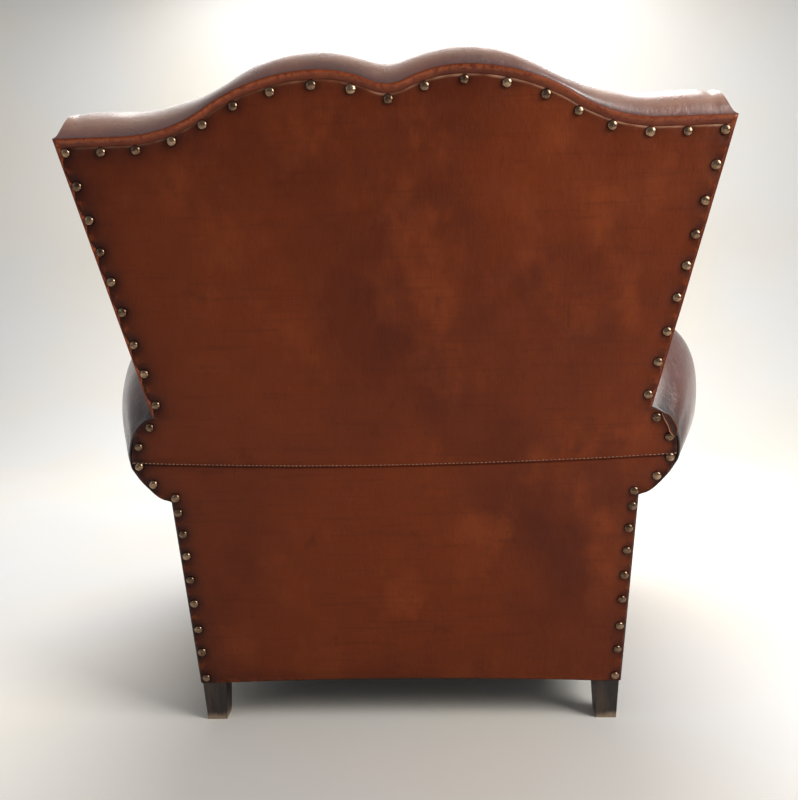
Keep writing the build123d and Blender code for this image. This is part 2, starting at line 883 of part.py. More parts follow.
# Seat: webbing under the rails, springs, hessian, stuffing, deck and front border
web_start = front_post_back - front_post_width / 2
web_end = side_rail_rear_y + frame_thickness / 2
web_length = web_end - web_start
web_middle = (web_start + web_end) / 2
with BuildPart() as seat_webbing:
    with BuildSketch(Plane.XY.offset(rail_bottom - cloth)):
        with Locations((0, web_middle)):
            with GridLocations(seat_web_pitch_x, 0, seat_web_count, 1):
                Rectangle(web_width, web_length)
    extrude(amount=cloth)
    with BuildSketch(Plane.XY.offset(rail_bottom - 2 * cloth)):
        with Locations((0, web_middle)):
            with GridLocations(0, seat_web_pitch_y, 1, seat_web_count):
                Rectangle(2 * (base_half - post_width / 2), web_width)
    extrude(amount=cloth)
save(seat_webbing.part, "seat_webbing")

with BuildPart() as dust_cover:
    with BuildSketch(Plane.XY.offset(rail_bottom - 4 * cloth)):
        rear_edge = foot_front - gap
        front_edge = front_post_back + gap
        Polygon(
            (-side_frame(front_edge), front_edge),
            (side_frame(front_edge), front_edge),
            (side_frame(rear_edge), rear_edge),
            (-side_frame(rear_edge), rear_edge),
            align=None,
        )
    extrude(amount=cloth)
save(dust_cover.part, "dust_cover")

# Coil springs with a waist, wound from one wire; each turn has a few straight sides
spring_bottom = rail_bottom + gap + spring_wire / 2
spring_rise = spring_height - 2 * gap - spring_wire
steps = spring_turns * spring_sides
with BuildPart() as spring:
    turns = []
    for step in range(steps + 1):
        share = step / steps
        angle = 2 * pi * step / spring_sides
        radius = spring_waist_radius + (spring_end_radius - spring_waist_radius) * (2 * share - 1) ** 2
        plane = Plane(
            origin=(radius * cos(angle), radius * sin(angle), spring_bottom + spring_rise * share),
            x_dir=(cos(angle), sin(angle), 0),
            z_dir=(-sin(angle), cos(angle), 0),
        )
        with BuildSketch(plane) as wire:
            Rectangle(spring_wire, spring_wire)
        turns.append(wire.sketch)
    loft(turns, ruled=True)
with BuildPart() as seat_springs:
    with Locations((0, spring_middle_y, 0)):
        with GridLocations(spring_pitch_x, spring_pitch_y, 3, 3):
            add(spring.part)
save(seat_springs.part, "seat_springs")


def deck_plan(inset, front, rear):
    """Outline of the seat between the arms."""
    shares = (arm_share(front), arm_share(rear))
    half = [arm_line(arm_inner_front, arm_inner_rear, share) - inset for share in shares]
    Polygon((-half[0], front), (half[0], front), (half[1], rear), (-half[1], rear), align=None)


hessian_bottom = rail_bottom + spring_height + gap
with BuildPart() as seat_hessian:
    with BuildSketch(Plane.XY.offset(hessian_bottom)):
        deck_plan(pad_gap, board_back + rail_thickness / 2, deck_rear)
    extrude(amount=cloth)
save(seat_hessian.part, "seat_hessian")

# The stuffing rests on the hessian and on the front rail, with a rolled front edge
stuffing_bottom = hessian_bottom + cloth + gap
front_rail_top = rail_bottom + front_rail_height


def deck_side(skin, low):
    """Side view of the stuffing with its rolled front edge, grown by skin."""
    front = board_back - leather - skin
    top = stuffing_bottom + seat_stuffing + skin
    radius = deck_edge_radius + skin
    turn = radius * (1 - sin(pi / 4))
    Line((front, low), (front, top - radius))
    ThreePointArc((front, top - radius), (front + turn, top - turn), (front + radius, top))
    Line((front + radius, top), (deck_rear, top))
    return (front, low), (deck_rear, top)


def between_arms(inset):
    """Keep only what lies between the arms."""
    with BuildSketch(Plane.XY) as plan:
        deck_plan(inset, board_front - overrun, deck_rear + overrun)
    extrude(plan.sketch, amount=deck_top + overrun, mode=Mode.INTERSECT)


side_view = Plane(origin=(-arm_inner_front, 0, 0), x_dir=(0, 1, 0), z_dir=(1, 0, 0))
with BuildPart() as seat_stuffing_pad:
    with BuildSketch(side_view):
        with BuildLine():
            start, end = deck_side(0, front_rail_top + gap)
            Polyline(
                start,
                (board_back + rail_thickness / 2 - gap, front_rail_top + gap),
                (board_back + rail_thickness / 2 - gap, stuffing_bottom),
                (deck_rear, stuffing_bottom),
                end,
            )
        make_face()
    extrude(amount=2 * arm_inner_front)
    between_arms(pad_gap)
save(seat_stuffing_pad.part, "seat_stuffing")

with BuildPart() as seat_deck:
    with BuildSketch(side_view):
        with BuildLine():
            border_top = deck_top - deck_edge_radius - deck_lip
            start, end = deck_side(gap, border_top)
            outer_start, outer_end = deck_side(gap + leather, border_top)
            Line(start, outer_start)
            Line(end, outer_end)
        make_face()
    extrude(amount=2 * arm_inner_front)
    between_arms(pad_gap)
save(seat_deck.part, "seat_deck")

with BuildPart() as seat_border:
    with BuildSketch(front_at(board_back - 2 * leather - gap)):
        half = arm_inner_front - pad_gap
        Polygon(*corners(-half, half, outside_low, border_top - gap), align=None)
    extrude(amount=-leather)
save(seat_border.part, "seat_border")

# Loose cushion: a welted box with drawn-in sides, a crown above and a flatter one below
low_welt = cushion_bottom + cushion_foot
high_welt = low_welt + cushion_side


def cushion_plan(z, inset):
    """Rounded outline of the cushion at height z, drawn in by inset."""
    front = cushion_front + welt_radius + inset
    rear = cushion_rear - inset
    half_front = cushion_front_half - welt_radius - inset
    half_rear = cushion_rear_half - welt_radius - inset
    with BuildSketch(Plane.XY.offset(z)) as plan:
        with BuildLine():
            points = [(-half_front, front), (half_front, front), (half_rear, rear), (-half_rear, rear)]
            FilletPolyline(*points, radius=cushion_corner, close=True)
        make_face()
    return plan.sketch


crown_shares = ((0, 0), (0.42, 0.09), (0.75, 0.3), (0.94, 0.62), (1, 1))
bottom_shares = crown_shares[:3]
with BuildPart() as seat_cushion:
    loft(
        [
            cushion_plan(low_welt, 0),
            cushion_plan((low_welt + high_welt) / 2, cushion_draw),
            cushion_plan(high_welt, 0),
        ]
    )
    loft([cushion_plan(high_welt + cushion_crown * up, cushion_crown_run * run) for up, run in crown_shares])
    bottom_run = cushion_crown_run / 2
    loft([cushion_plan(low_welt - cushion_foot * up, bottom_run * run) for up, run in bottom_shares])
save(seat_cushion.part, "seat_cushion")

with BuildPart() as cushion_welts:
    for height in (low_welt, high_welt):
        front = cushion_front + welt_radius
        half_front = cushion_front_half - welt_radius
        half_rear = cushion_rear_half - welt_radius
        with BuildLine(Plane.XY.offset(height)) as loop:
            FilletPolyline(
                (-half_front, front),
                (half_front, front),
                (half_rear, cushion_rear),
                (-half_rear, cushion_rear),
                radius=cushion_corner,
                close=True,
            )
        with BuildSketch(Plane(origin=loop.line @ 0, z_dir=loop.line % 0)) as cord:
            RegularPolygon(welt_radius, welt_sides)
        sweep(cord.sketch, path=loop.line)
    add(seat_cushion.part, mode=Mode.SUBTRACT)
save(cushion_welts.part, "cushion_welts")

# Nails: places along each edge are shares of its length, from the top or the middle outwards
crest_nail_shares = (0, 0.11, 0.225, 0.345, 0.46, 0.565, 0.67, 0.78, 0.885, 0.99)
side_nail_shares = (0.115, 0.235, 0.35, 0.46, 0.575, 0.7, 0.815, 0.94)
ear_nail_shares = (0.13, 0.34, 0.52, 0.7, 0.9)
low_nail_shares = (0.04, 0.165, 0.285, 0.415, 0.545, 0.69, 0.82, 0.97)
facing_roll_nails = 15
facing_side_nails = 7

with BuildPart() as nail:
    dome = arc_radius(nail_radius, nail_height)
    with BuildSketch(Plane.XY):
        Circle(nail_radius)
    extrude(amount=nail_height)
    with Locations((0, 0, nail_height - dome)):
        Sphere(dome, mode=Mode.INTERSECT)


def nail_row(plane, line, shares):
    """Place a nail on the plane at each share of a line drawn on it."""
    for share in shares:
        with Locations(Plane(origin=line @ share, x_dir=plane.x_dir, z_dir=-plane.z_dir)):
            add(nail.part)


with BuildLine(back_at(0)) as crest_line:
    reach = corner_half - nail_side_inset
    knots = (0, dip_half, hump_half, hump_outer_half, shoulder_half)
    for start, end in zip(knots, knots[1:]):
        middle = (start + end) / 2
        ThreePointArc(*[(x, crest(x) - nail_top_inset) for x in (start, middle, end)])
    Line((shoulder_half, corner_height - nail_top_inset), (reach, corner_height - nail_top_inset))
with BuildLine(back_at(0)) as side_line:
    Line((reach, corner_height - nail_top_inset), (waist_half - nail_side_inset, waist_height))
with BuildLine(back_at(0)) as ear_line:
    ThreePointArc(
        (waist_half - nail_side_inset, waist_height),
        (ear_middle + arm_rear_radius - nail_side_inset, ear_height),
        (under_arm_half - nail_side_inset, under_arm_height),
    )
with BuildLine(back_at(0)) as low_line:
    Line(
        (under_arm_half - nail_side_inset, under_arm_height),
        (base_half - nail_side_inset, panel_bottom),
    )
nail_plane = back_at(0)
with BuildPart() as back_nails:
    nail_row(nail_plane, crest_line.line, crest_nail_shares[1:])
    nail_row(nail_plane, side_line.line, side_nail_shares)
    nail_row(nail_plane, ear_line.line, ear_nail_shares)
    nail_row(nail_plane, low_line.line, low_nail_shares)
    mirror(about=Plane.YZ)
    nail_row(nail_plane, crest_line.line, crest_nail_shares[:1])
save(back_nails.part, "back_nails")

# Nails round each arm facing
inner, radius, low, edge = arm_sizes(0, arm_radius)
with BuildLine(front_at(facing_front)) as facing_line:
    inside, under = roll_arcs(inner, radius, low + radius, edge + leather - nail_side_inset, nail_side_inset)
with BuildPart() as facing_nails:
    for step in range(facing_roll_nails):
        place = facing_line.line @ (step / (facing_roll_nails - 1))
        with Locations(Plane(origin=place, x_dir=(1, 0, 0), z_dir=(0, -1, 0))):
            add(nail.part)
    for x, top in (inside, under):
        for step in range(1, facing_side_nails + 1):
            height = top - (top - panel_bottom) * step / (facing_side_nails + 1)
            with Locations(Plane(origin=(x, facing_front, height), x_dir=(1, 0, 0), z_dir=(0, -1, 0))):
                add(nail.part)
save_pair(facing_nails.part, "facing_nails")
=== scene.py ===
"""Looks of the club chair: leather covers, nails, seam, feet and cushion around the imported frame.

Lengths are in metres. The chair's front is -Y, up is +Z and the sitter's left is +X.
"""

import json
import logging
from dataclasses import dataclass, field
from enum import Enum
from math import cos, pi, radians, sin, tan
from typing import Callable, Sequence

import bpy
import numpy as np
from mathutils import Matrix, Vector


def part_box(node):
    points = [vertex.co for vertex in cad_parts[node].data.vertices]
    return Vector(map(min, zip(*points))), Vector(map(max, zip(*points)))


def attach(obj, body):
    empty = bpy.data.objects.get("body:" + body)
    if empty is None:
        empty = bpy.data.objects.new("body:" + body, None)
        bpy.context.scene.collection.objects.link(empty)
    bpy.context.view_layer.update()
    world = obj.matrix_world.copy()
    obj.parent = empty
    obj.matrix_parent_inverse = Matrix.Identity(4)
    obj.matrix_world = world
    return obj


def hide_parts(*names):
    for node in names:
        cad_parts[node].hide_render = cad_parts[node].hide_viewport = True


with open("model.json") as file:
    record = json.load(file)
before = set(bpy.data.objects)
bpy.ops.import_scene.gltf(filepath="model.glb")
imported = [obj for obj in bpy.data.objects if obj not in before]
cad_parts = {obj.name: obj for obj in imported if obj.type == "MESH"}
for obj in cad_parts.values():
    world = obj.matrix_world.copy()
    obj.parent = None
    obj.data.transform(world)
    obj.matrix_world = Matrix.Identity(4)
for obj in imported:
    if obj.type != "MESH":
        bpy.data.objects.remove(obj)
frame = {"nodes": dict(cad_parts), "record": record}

LOG = logging.getLogger("club_chair")
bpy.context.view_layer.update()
CHAIR = "chair"
CUSHION = "cushion"
SIDES = {1: "left", -1: "right"}
LEATHER_THICKNESS = 0.002
NAIL_SPACE = 0.014

Array = np.ndarray
Values = dict[str, Array]
Piece = bpy.types.Object
Socket = bpy.types.NodeSocket
Triple = tuple[float, float, float]
Colour = tuple[float, float, float, float]


class Way(Enum):
    """Which way the faces of a grid point."""

    KEEP = 1
    TURN = -1


def quads(rows: int, columns: int, wrap: bool, way: Way) -> Array:
    """Faces of a grid of points, row by row.

    Args:
        rows: number of rows of points.
        columns: number of points in a row.
        wrap: whether the last column joins the first.
        way: which way the faces point.

    Returns:
        An array of four point numbers for each face.
    """
    across = columns if wrap else columns - 1
    row, column = np.meshgrid(np.arange(rows - 1), np.arange(across), indexing="ij")
    beside = (column + 1) % columns
    corners = [row * columns + column, row * columns + beside]
    corners += [(row + 1) * columns + beside, (row + 1) * columns + column]
    faces = np.stack(corners, axis=-1).reshape(-1, 4)
    return faces if way is Way.KEEP else faces[:, ::-1]


def copies(faces: Array, each: int, count: int) -> Array:
    """Faces of equal meshes that follow one another, each with the same number of points."""
    return (faces[None] + each * np.arange(count)[:, None, None]).reshape(-1, 4)


def mesh_piece(name: str, points: Array, faces: Array, values: Values | None = None) -> Piece:
    """Make a smooth mesh object from arrays.

    Args:
        name: name of the piece.
        points: places of the points, one row each.
        faces: four point numbers for each face.
        values: named numbers, one for each point, that the finish reads.

    Returns:
        The new object, at the origin.
    """
    mesh = bpy.data.meshes.new(name)
    mesh.vertices.add(len(points))
    mesh.vertices.foreach_set("co", np.ascontiguousarray(points, dtype=np.float32).ravel())
    size = faces.shape[1]
    mesh.loops.add(faces.size)
    mesh.loops.foreach_set("vertex_index", np.ascontiguousarray(faces, dtype=np.int32).ravel())
    mesh.polygons.add(len(faces))
    mesh.polygons.foreach_set("loop_start", np.arange(0, faces.size, size, dtype=np.int32))
    mesh.polygons.foreach_set("use_smooth", np.ones(len(faces), dtype=bool))
    mesh.update(calc_edges=True)
    mesh.validate()
    for label, numbers in (values or {}).items():
        layer = mesh.attributes.new(label, "FLOAT", "POINT")
        layer.data.foreach_set("value", np.ascontiguousarray(numbers, dtype=np.float32).ravel())
    piece = bpy.data.objects.new(name, mesh)
    bpy.context.scene.collection.objects.link(piece)
    return piece


def grid_piece(
    name: str,
    points: Array,
    values: Values | None = None,
    way: Way = Way.KEEP,
    thickness: float = 0.0,
    wrap: bool = False,
    keep: Array | None = None,
) -> Piece:
    """Make a piece from a grid of points.

    Args:
        name: name of the piece.
        points: array of rows by columns by three.
        values: named numbers that fit the shape of the grid.
        way: which way the faces point.
        thickness: how far the sheet reaches inwards from its face, or nothing for a bare surface.
        wrap: whether the last column joins the first.
        keep: for each point, whether the faces at it stay.

    Returns:
        The new object.
    """
    rows, columns = points.shape[:2]
    faces = quads(rows, columns, wrap, way)
    flat = points.reshape(-1, 3)
    numbers = {
        label: np.broadcast_to(grid, (rows, columns)).reshape(-1) for label, grid in (values or {}).items()
    }
    if keep is not None:
        faces = faces[keep.reshape(-1)[faces].any(axis=1)]
        used = np.unique(faces)
        order = np.zeros(len(flat), dtype=np.int64)
        order[used] = np.arange(len(used))
        faces, flat = order[faces], flat[used]
        numbers = {label: grid[used] for label, grid in numbers.items()}
    piece = mesh_piece(name, flat, faces, numbers)
    if thickness:
        wall = piece.modifiers.new("thickness", "SOLIDIFY")
        wall.thickness = thickness
        wall.offset = -1
        wall.use_rim = True
    return piece


def spread(x: Array, y: Array, z: Array) -> Array:
    """Points from three coordinates whose shapes fit one another."""
    return np.stack(np.broadcast_arrays(x, y, z), axis=-1)


def smooth(low: float, high: float, number: Array) -> Array:
    """Smooth step from 0 at low to 1 at high."""
    share = np.clip((number - low) / (high - low), 0, 1)
    return share * share * (3 - 2 * share)


def bell(number: Array, middle: float, width: float) -> Array:
    """Bell curve: 1 at the middle, and about a third of that one width away."""
    return np.exp(-(((number - middle) / width) ** 2))


def blend(first: float, last: float, share: Array) -> Array:
    """Straight run from the first number at 0 to the last at 1."""
    return first + (last - first) * share


def waves(points: Array, size: float, seed: int, count: int = 5) -> Array:
    """Smooth unevenness: a sum of sine waves in seeded directions.

    Args:
        points: places where the unevenness is wanted.
        size: length of the longest wave.
        seed: number that settles the directions.
        count: how many waves are added.

    Returns:
        Numbers from about -1 to 1.
    """
    source = np.random.default_rng(seed)
    total = np.zeros(points.shape[:-1])
    for _ in range(count):
        direction = source.normal(size=3)
        direction *= 2 * pi / (size * (0.45 + 0.55 * source.random()) * np.linalg.norm(direction))
        total += np.sin(points @ direction + source.random() * 2 * pi)
    return total / count**0.75


def nail_places(node: str) -> Array:
    """Middles of the separate nails in a CAD node, one row each, read from its mesh."""
    mesh = frame["nodes"][node].data
    points = np.empty(len(mesh.vertices) * 3, dtype=np.float32)
    mesh.vertices.foreach_get("co", points)
    points = points.reshape(-1, 3).astype(float)
    left = np.ones(len(points), dtype=bool)
    places = []
    while left.any():
        start = points[np.argmax(left)]
        near = left & (np.linalg.norm(points - start, axis=1) < NAIL_SPACE)
        places.append((points[near].min(axis=0) + points[near].max(axis=0)) / 2)
        left &= ~near
    return np.array(places)


def nearest(points: Array, places: Array) -> Array:
    """Distance from each point to the nearest of some places."""
    flat = points.reshape(-1, 3)
    best = np.full(len(flat), 9.0)
    for place in places:
        best = np.minimum(best, np.linalg.norm(flat - place, axis=1))
    return best.reshape(points.shape[:-1])


@dataclass(frozen=True)
class BackForm:
    """Outline of the leaning outside back: half widths, and heights measured along its slope."""

    lean: float = radians(10)
    panel_bottom: float = 0.063
    panel_bow: float = 0.007
    base_half: float = 0.300
    under_half: float = 0.311
    under_height: float = 0.346
    waist_half: float = 0.320
    waist_height: float = 0.462
    ear_half: float = 0.358
    ear_curl: float = 1.6
    corner_half: float = 0.400
    corner_height: float = 0.814
    hump_half: float = 0.084
    hump_rise: float = 0.065
    dip_half: float = 0.022
    dip_rise: float = 0.005
    inner_drop: float = 0.013
    outer_drop: float = 0.036
    outer_half: float = 0.215
    shoulder_half: float = 0.317
    crest_band: float = 0.011
    nail_inset: float = 0.0085
    nail_drop: float = 0.009
    nail_drop_reach: float = 0.06
    seam_height: float = 0.404
    seam_sag: float = 0.012

    @property
    def heel(self) -> float:
        """Where the slope of the outside back meets the floor, read from the frame."""
        top = self.corner_height + self.hump_rise - self.crest_band
        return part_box("back_outside_upper")[1][1] - top * sin(self.lean)

    def place(self, x: Array, height: Array, out: Array) -> Array:
        """Points at half width x, height along the slope and distance out of the back's face."""
        y = self.heel + height * sin(self.lean) + out * cos(self.lean)
        z = height * cos(self.lean) - out * sin(self.lean)
        return spread(x, y, z)

    def crest(self, x: Array) -> Array:
        """Height of the crest's rear edge: four arcs and a level shoulder, each side alike."""
        x = np.abs(x)

        def arc(chord: float, rise: float, along: Array) -> Array:
            """Rise of a circle that climbs by rise over the chord, from level at 0."""
            radius = (chord**2 + rise**2) / (2 * rise)
            return radius - np.sqrt(np.maximum(radius**2 - along**2, 0))

        hump = self.corner_height + self.hump_rise
        dip = hump - self.inner_drop - self.dip_rise + arc(self.dip_half, self.dip_rise, x)
        inner = hump - arc(self.hump_half - self.dip_half, self.inner_drop, self.hump_half - x)
        outer = hump - arc(self.outer_half - self.hump_half, self.outer_drop, x - self.hump_half)
        foot = self.corner_height + arc(
            self.shoulder_half - self.outer_half, self.hump_rise - self.outer_drop, self.shoulder_half - x
        )
        level = np.full_like(x, self.corner_height)
        steps = [x <= self.dip_half, x <= self.hump_half, x <= self.outer_half, x <= self.shoulder_half]
        return np.select(steps, [dip, inner, outer, foot], level)

    def half_width(self, height: Array) -> Array:
        """Half width of the outside back at a height.

        The sides are straight, with a round ear between: its upper quarter is nearly an ellipse,
        and its lower quarter is drawn in, with ear_curl as the power of both its terms.
        """
        low = blend(self.base_half, self.under_half, np.clip(
            (height - self.panel_bottom) / (self.under_height - self.panel_bottom), 0, 1
        ))
        slope = (self.corner_half - self.waist_half) / (self.corner_height - self.waist_height)
        high = self.waist_half + slope * (np.minimum(height, self.corner_height) - self.waist_height)
        middle = (self.under_height + self.waist_height) / 2
        away = np.clip(np.abs(height - middle) / (self.waist_height - middle), 0, 1)
        upper = blend(self.waist_half, self.ear_half, (1 - (away / 1.035) ** 2) ** 0.45)
        lower = blend(self.under_half, self.ear_half, (1 - away**self.ear_curl) ** (1 / self.ear_curl))
        ear = np.where(height > middle, upper, lower)
        between = (height > self.under_height) & (height < self.waist_height)
        return np.where(between, ear, np.where(height >= self.waist_height, high, low))

    def draw_in(self, places: Array) -> Array:
        """Nail places, moved inwards near the side edge and downwards just under the ears."""
        height = places[:, 2] / cos(self.lean)
        under = self.under_height - height
        drop = self.nail_drop * smooth(self.nail_drop_reach, 0.0, under) * (under > 0)
        height = height - drop
        near = [self.half_width(height + step) for step in (-self.nail_inset, -self.nail_inset / 2, 0)]
        most = np.min(near, axis=0) - self.nail_inset * 0.8
        x = np.sign(places[:, 0]) * np.minimum(np.abs(places[:, 0]), most)
        return spread(x, places[:, 1] - drop * sin(self.lean), places[:, 2] - drop * cos(self.lean))

    def seam(self, x: Array) -> Array:
        """Height of the seam: a shallow arc that sags at the middle."""
        return self.seam_height - self.seam_sag * (1 - (x / self.corner_half) ** 2)


@dataclass(frozen=True)
class ArmForm:
    """Shape of an arm: a roll that slopes down to the rear and narrows there."""

    back: BackForm
    front: float = -0.425
    radius: float = 0.090
    rear_radius: float = 0.060
    top_front: float = 0.583
    top_rear: float = 0.570
    ear_top: float = 0.459
    draw_left: float = 0.81
    draw_right: float = 0.84
    squareness: float = 0.92
    inner_front: float = 0.250
    inner_rear: float = 0.238
    bottom_front: float = 0.403
    bottom_rear: float = 0.339
    side_front: float = 0.345
    wall_bottom: float = 0.222
    rear_height: float = 0.404
    rear_gap: float = 0.0025

    @property
    def rear(self) -> float:
        """Where the middle of the arm meets the outside back."""
        return self.back.heel + self.rear_height * sin(self.back.lean)

    def drawn(self, share: Array, side: int) -> Array:
        """How far the rear end of the roll is drawn in to the ear: 0 along the arm, 1 at its end."""
        start = self.draw_left if side > 0 else self.draw_right
        return np.clip((share - start) / (1 - start), 0, 1) ** 1.2

    def half_width(self, share: Array, side: int) -> Array:
        """Half the width of the roll along the arm."""
        end = self.drawn(share, side)
        return self.radius * (1 - 0.025 * smooth(0.25, 0.85, share)) * (1 - end) + self.rear_radius * end

    def half_height(self, share: Array, side: int) -> Array:
        """Half the height of the roll along the arm."""
        end = self.drawn(share, side)
        top = blend(self.top_front, self.top_rear, share) * (1 - end) + self.ear_top * end
        return (top - self.bottom(share)) / 2

    def inner(self, share: Array) -> Array:
        """Inner face of the arm along its length."""
        return blend(self.inner_front, self.inner_rear, share)

    def bottom(self, share: Array) -> Array:
        """Underside of the roll along its length."""
        return blend(self.bottom_front, self.bottom_rear, share)

    def edge(self, share: Array) -> Array:
        """Where the roll meets the outside arm panel."""
        return blend(self.side_front, self.back.under_half, share)

    def along(self, share: Array, z: Array) -> Array:
        """Place along Y; the rear end leans with the back."""
        middle_z = self.rear_height * cos(self.back.lean)
        lean = smooth(0.62, 1.0, share) * (z - middle_z) * tan(self.back.lean)
        return blend(self.front, self.rear - self.rear_gap, share) + lean

    def inside(self, points: Array, margin: float) -> Array:
        """Which points lie inside the arm by more than a margin."""
        x, y, z = np.abs(points[..., 0]), points[..., 1], points[..., 2]
        share = np.clip((y - self.front) / (self.rear - self.front), 0, 1)
        wide, tall = self.half_width(share, 1), self.half_height(share, 1)
        middle_x, middle_z = self.inner(share) + wide, self.bottom(share) + tall
        off = ((x - middle_x) / (wide - margin)) ** 2 + ((z - middle_z) / (tall - margin)) ** 2
        in_wall = (x > self.inner(share) + margin) & (z < middle_z) & (x < self.edge(share) - margin)
        return (off < 1) | in_wall


class Nodes:
    """Short way to write the node tree of one finish."""

    def __init__(self, name: str) -> None:
        """Start a material of that name with one shader."""
        self.material = bpy.data.materials.new(name)
        self.material.use_nodes = True
        self.tree = self.material.node_tree
        self.tree.nodes.clear()
        self.shader = self.add("BsdfPrincipled")
        self.add("OutputMaterial", {"Surface": self.shader.outputs[0]})
        self.place = self.add("TexCoord").outputs["Object"]

    def add(
        self, kind: str, inputs: dict[str | int, object] | None = None, **settings: object
    ) -> bpy.types.Node:
        """Add a node.

        Args:
            kind: type of the node, without the words that every shader node's type begins with.
            inputs: a number, colour or socket for each input that is set.
            settings: the node's other settings, by name.

        Returns:
            The new node.
        """
        node = self.tree.nodes.new("ShaderNode" + kind)
        for name, value in settings.items():
            setattr(node, name, value)
        for label, value in (inputs or {}).items():
            self.feed(node.inputs[label], value)
        return node

    def feed(self, socket: Socket, value: object) -> None:
        """Give a socket a number, a colour or another socket."""
        if isinstance(value, Socket):
            self.tree.links.new(value, socket)
        else:
            socket.default_value = value

    def finish(self, **inputs: object) -> bpy.types.Material:
        """Feed the shader's inputs, named with _ for each space, and return the material."""
        for label, value in inputs.items():
            self.feed(self.shader.inputs[label.replace("_", " ")], value)
        return self.material

    def noise(self, scale: float, detail: float = 4, rough: float = 0.55, stretch: Triple = (1, 1, 1),
              shift: Triple = (0, 0, 0)) -> Socket:
        """Noise in object space.

        Args:
            scale: how fine it is.
            detail: how many finer layers it has.
            rough: how strong those are.
            stretch: scale of the place along X, Y and Z.
            shift: move of the place, so that two finishes differ.

        Returns:
            The noise's socket, around 0.5.
        """
        place = self.add("Mapping", {"Vector": self.place, "Scale": stretch, "Location": shift}).outputs[0]
        inputs = {"Vector": place, "Scale": scale, "Detail": detail, "Roughness": rough}
        return self.add("TexNoise", inputs).outputs["Fac"]

    def cells(self, scale: float) -> Socket:
        """Distance to the edge of small cells in object space."""
        inputs = {"Vector": self.place, "Scale": scale}
        return self.add("TexVoronoi", inputs, feature="DISTANCE_TO_EDGE").outputs["Distance"]

    def value(self, name: str) -> Socket:
        """Number stored on the mesh."""
        return self.add("Attribute", attribute_name=name).outputs["Fac"]

    def span(self, value: Socket, low: float, high: float, to_low: float = 0, to_high: float = 1) -> Socket:
        """Map the range from low to high to the other range, smoothly and clamped."""
        inputs = {"Value": value, "From Min": low, "From Max": high, "To Min": to_low, "To Max": to_high}
        return self.add("MapRange", inputs, interpolation_type="SMOOTHSTEP").outputs[0]

    def plus(self, first: object, second: object) -> Socket:
        """Sum of two numbers."""
        return self.add("Math", {0: first, 1: second}, operation="ADD").outputs[0]

    def times(self, first: object, second: object) -> Socket:
        """Product of two numbers."""
        return self.add("Math", {0: first, 1: second}, operation="MULTIPLY").outputs[0]

    def mix(self, share: object, first: object, second: object) -> Socket:
        """Mix two colours."""
        return self.add("Mix", {0: share, 6: first, 7: second}, data_type="RGBA").outputs[2]

    def bump(self, height: Socket, depth: float, strength: float, under: Socket | None = None) -> Socket:
        """Relief from a number, over another relief."""
        inputs = {"Height": height, "Distance": depth, "Strength": strength}
        return self.add("Bump", inputs if under is None else inputs | {"Normal": under}).outputs[0]


def paint(red: int, green: int, blue: int) -> Colour:
    """Linear colour from the usual 0 to 255 values."""
    share = np.array([red, green, blue]) / 255
    linear = np.where(share <= 0.04045, share / 12.92, ((share + 0.055) / 1.055) ** 2.4)
    return (*linear.tolist(), 1.0)


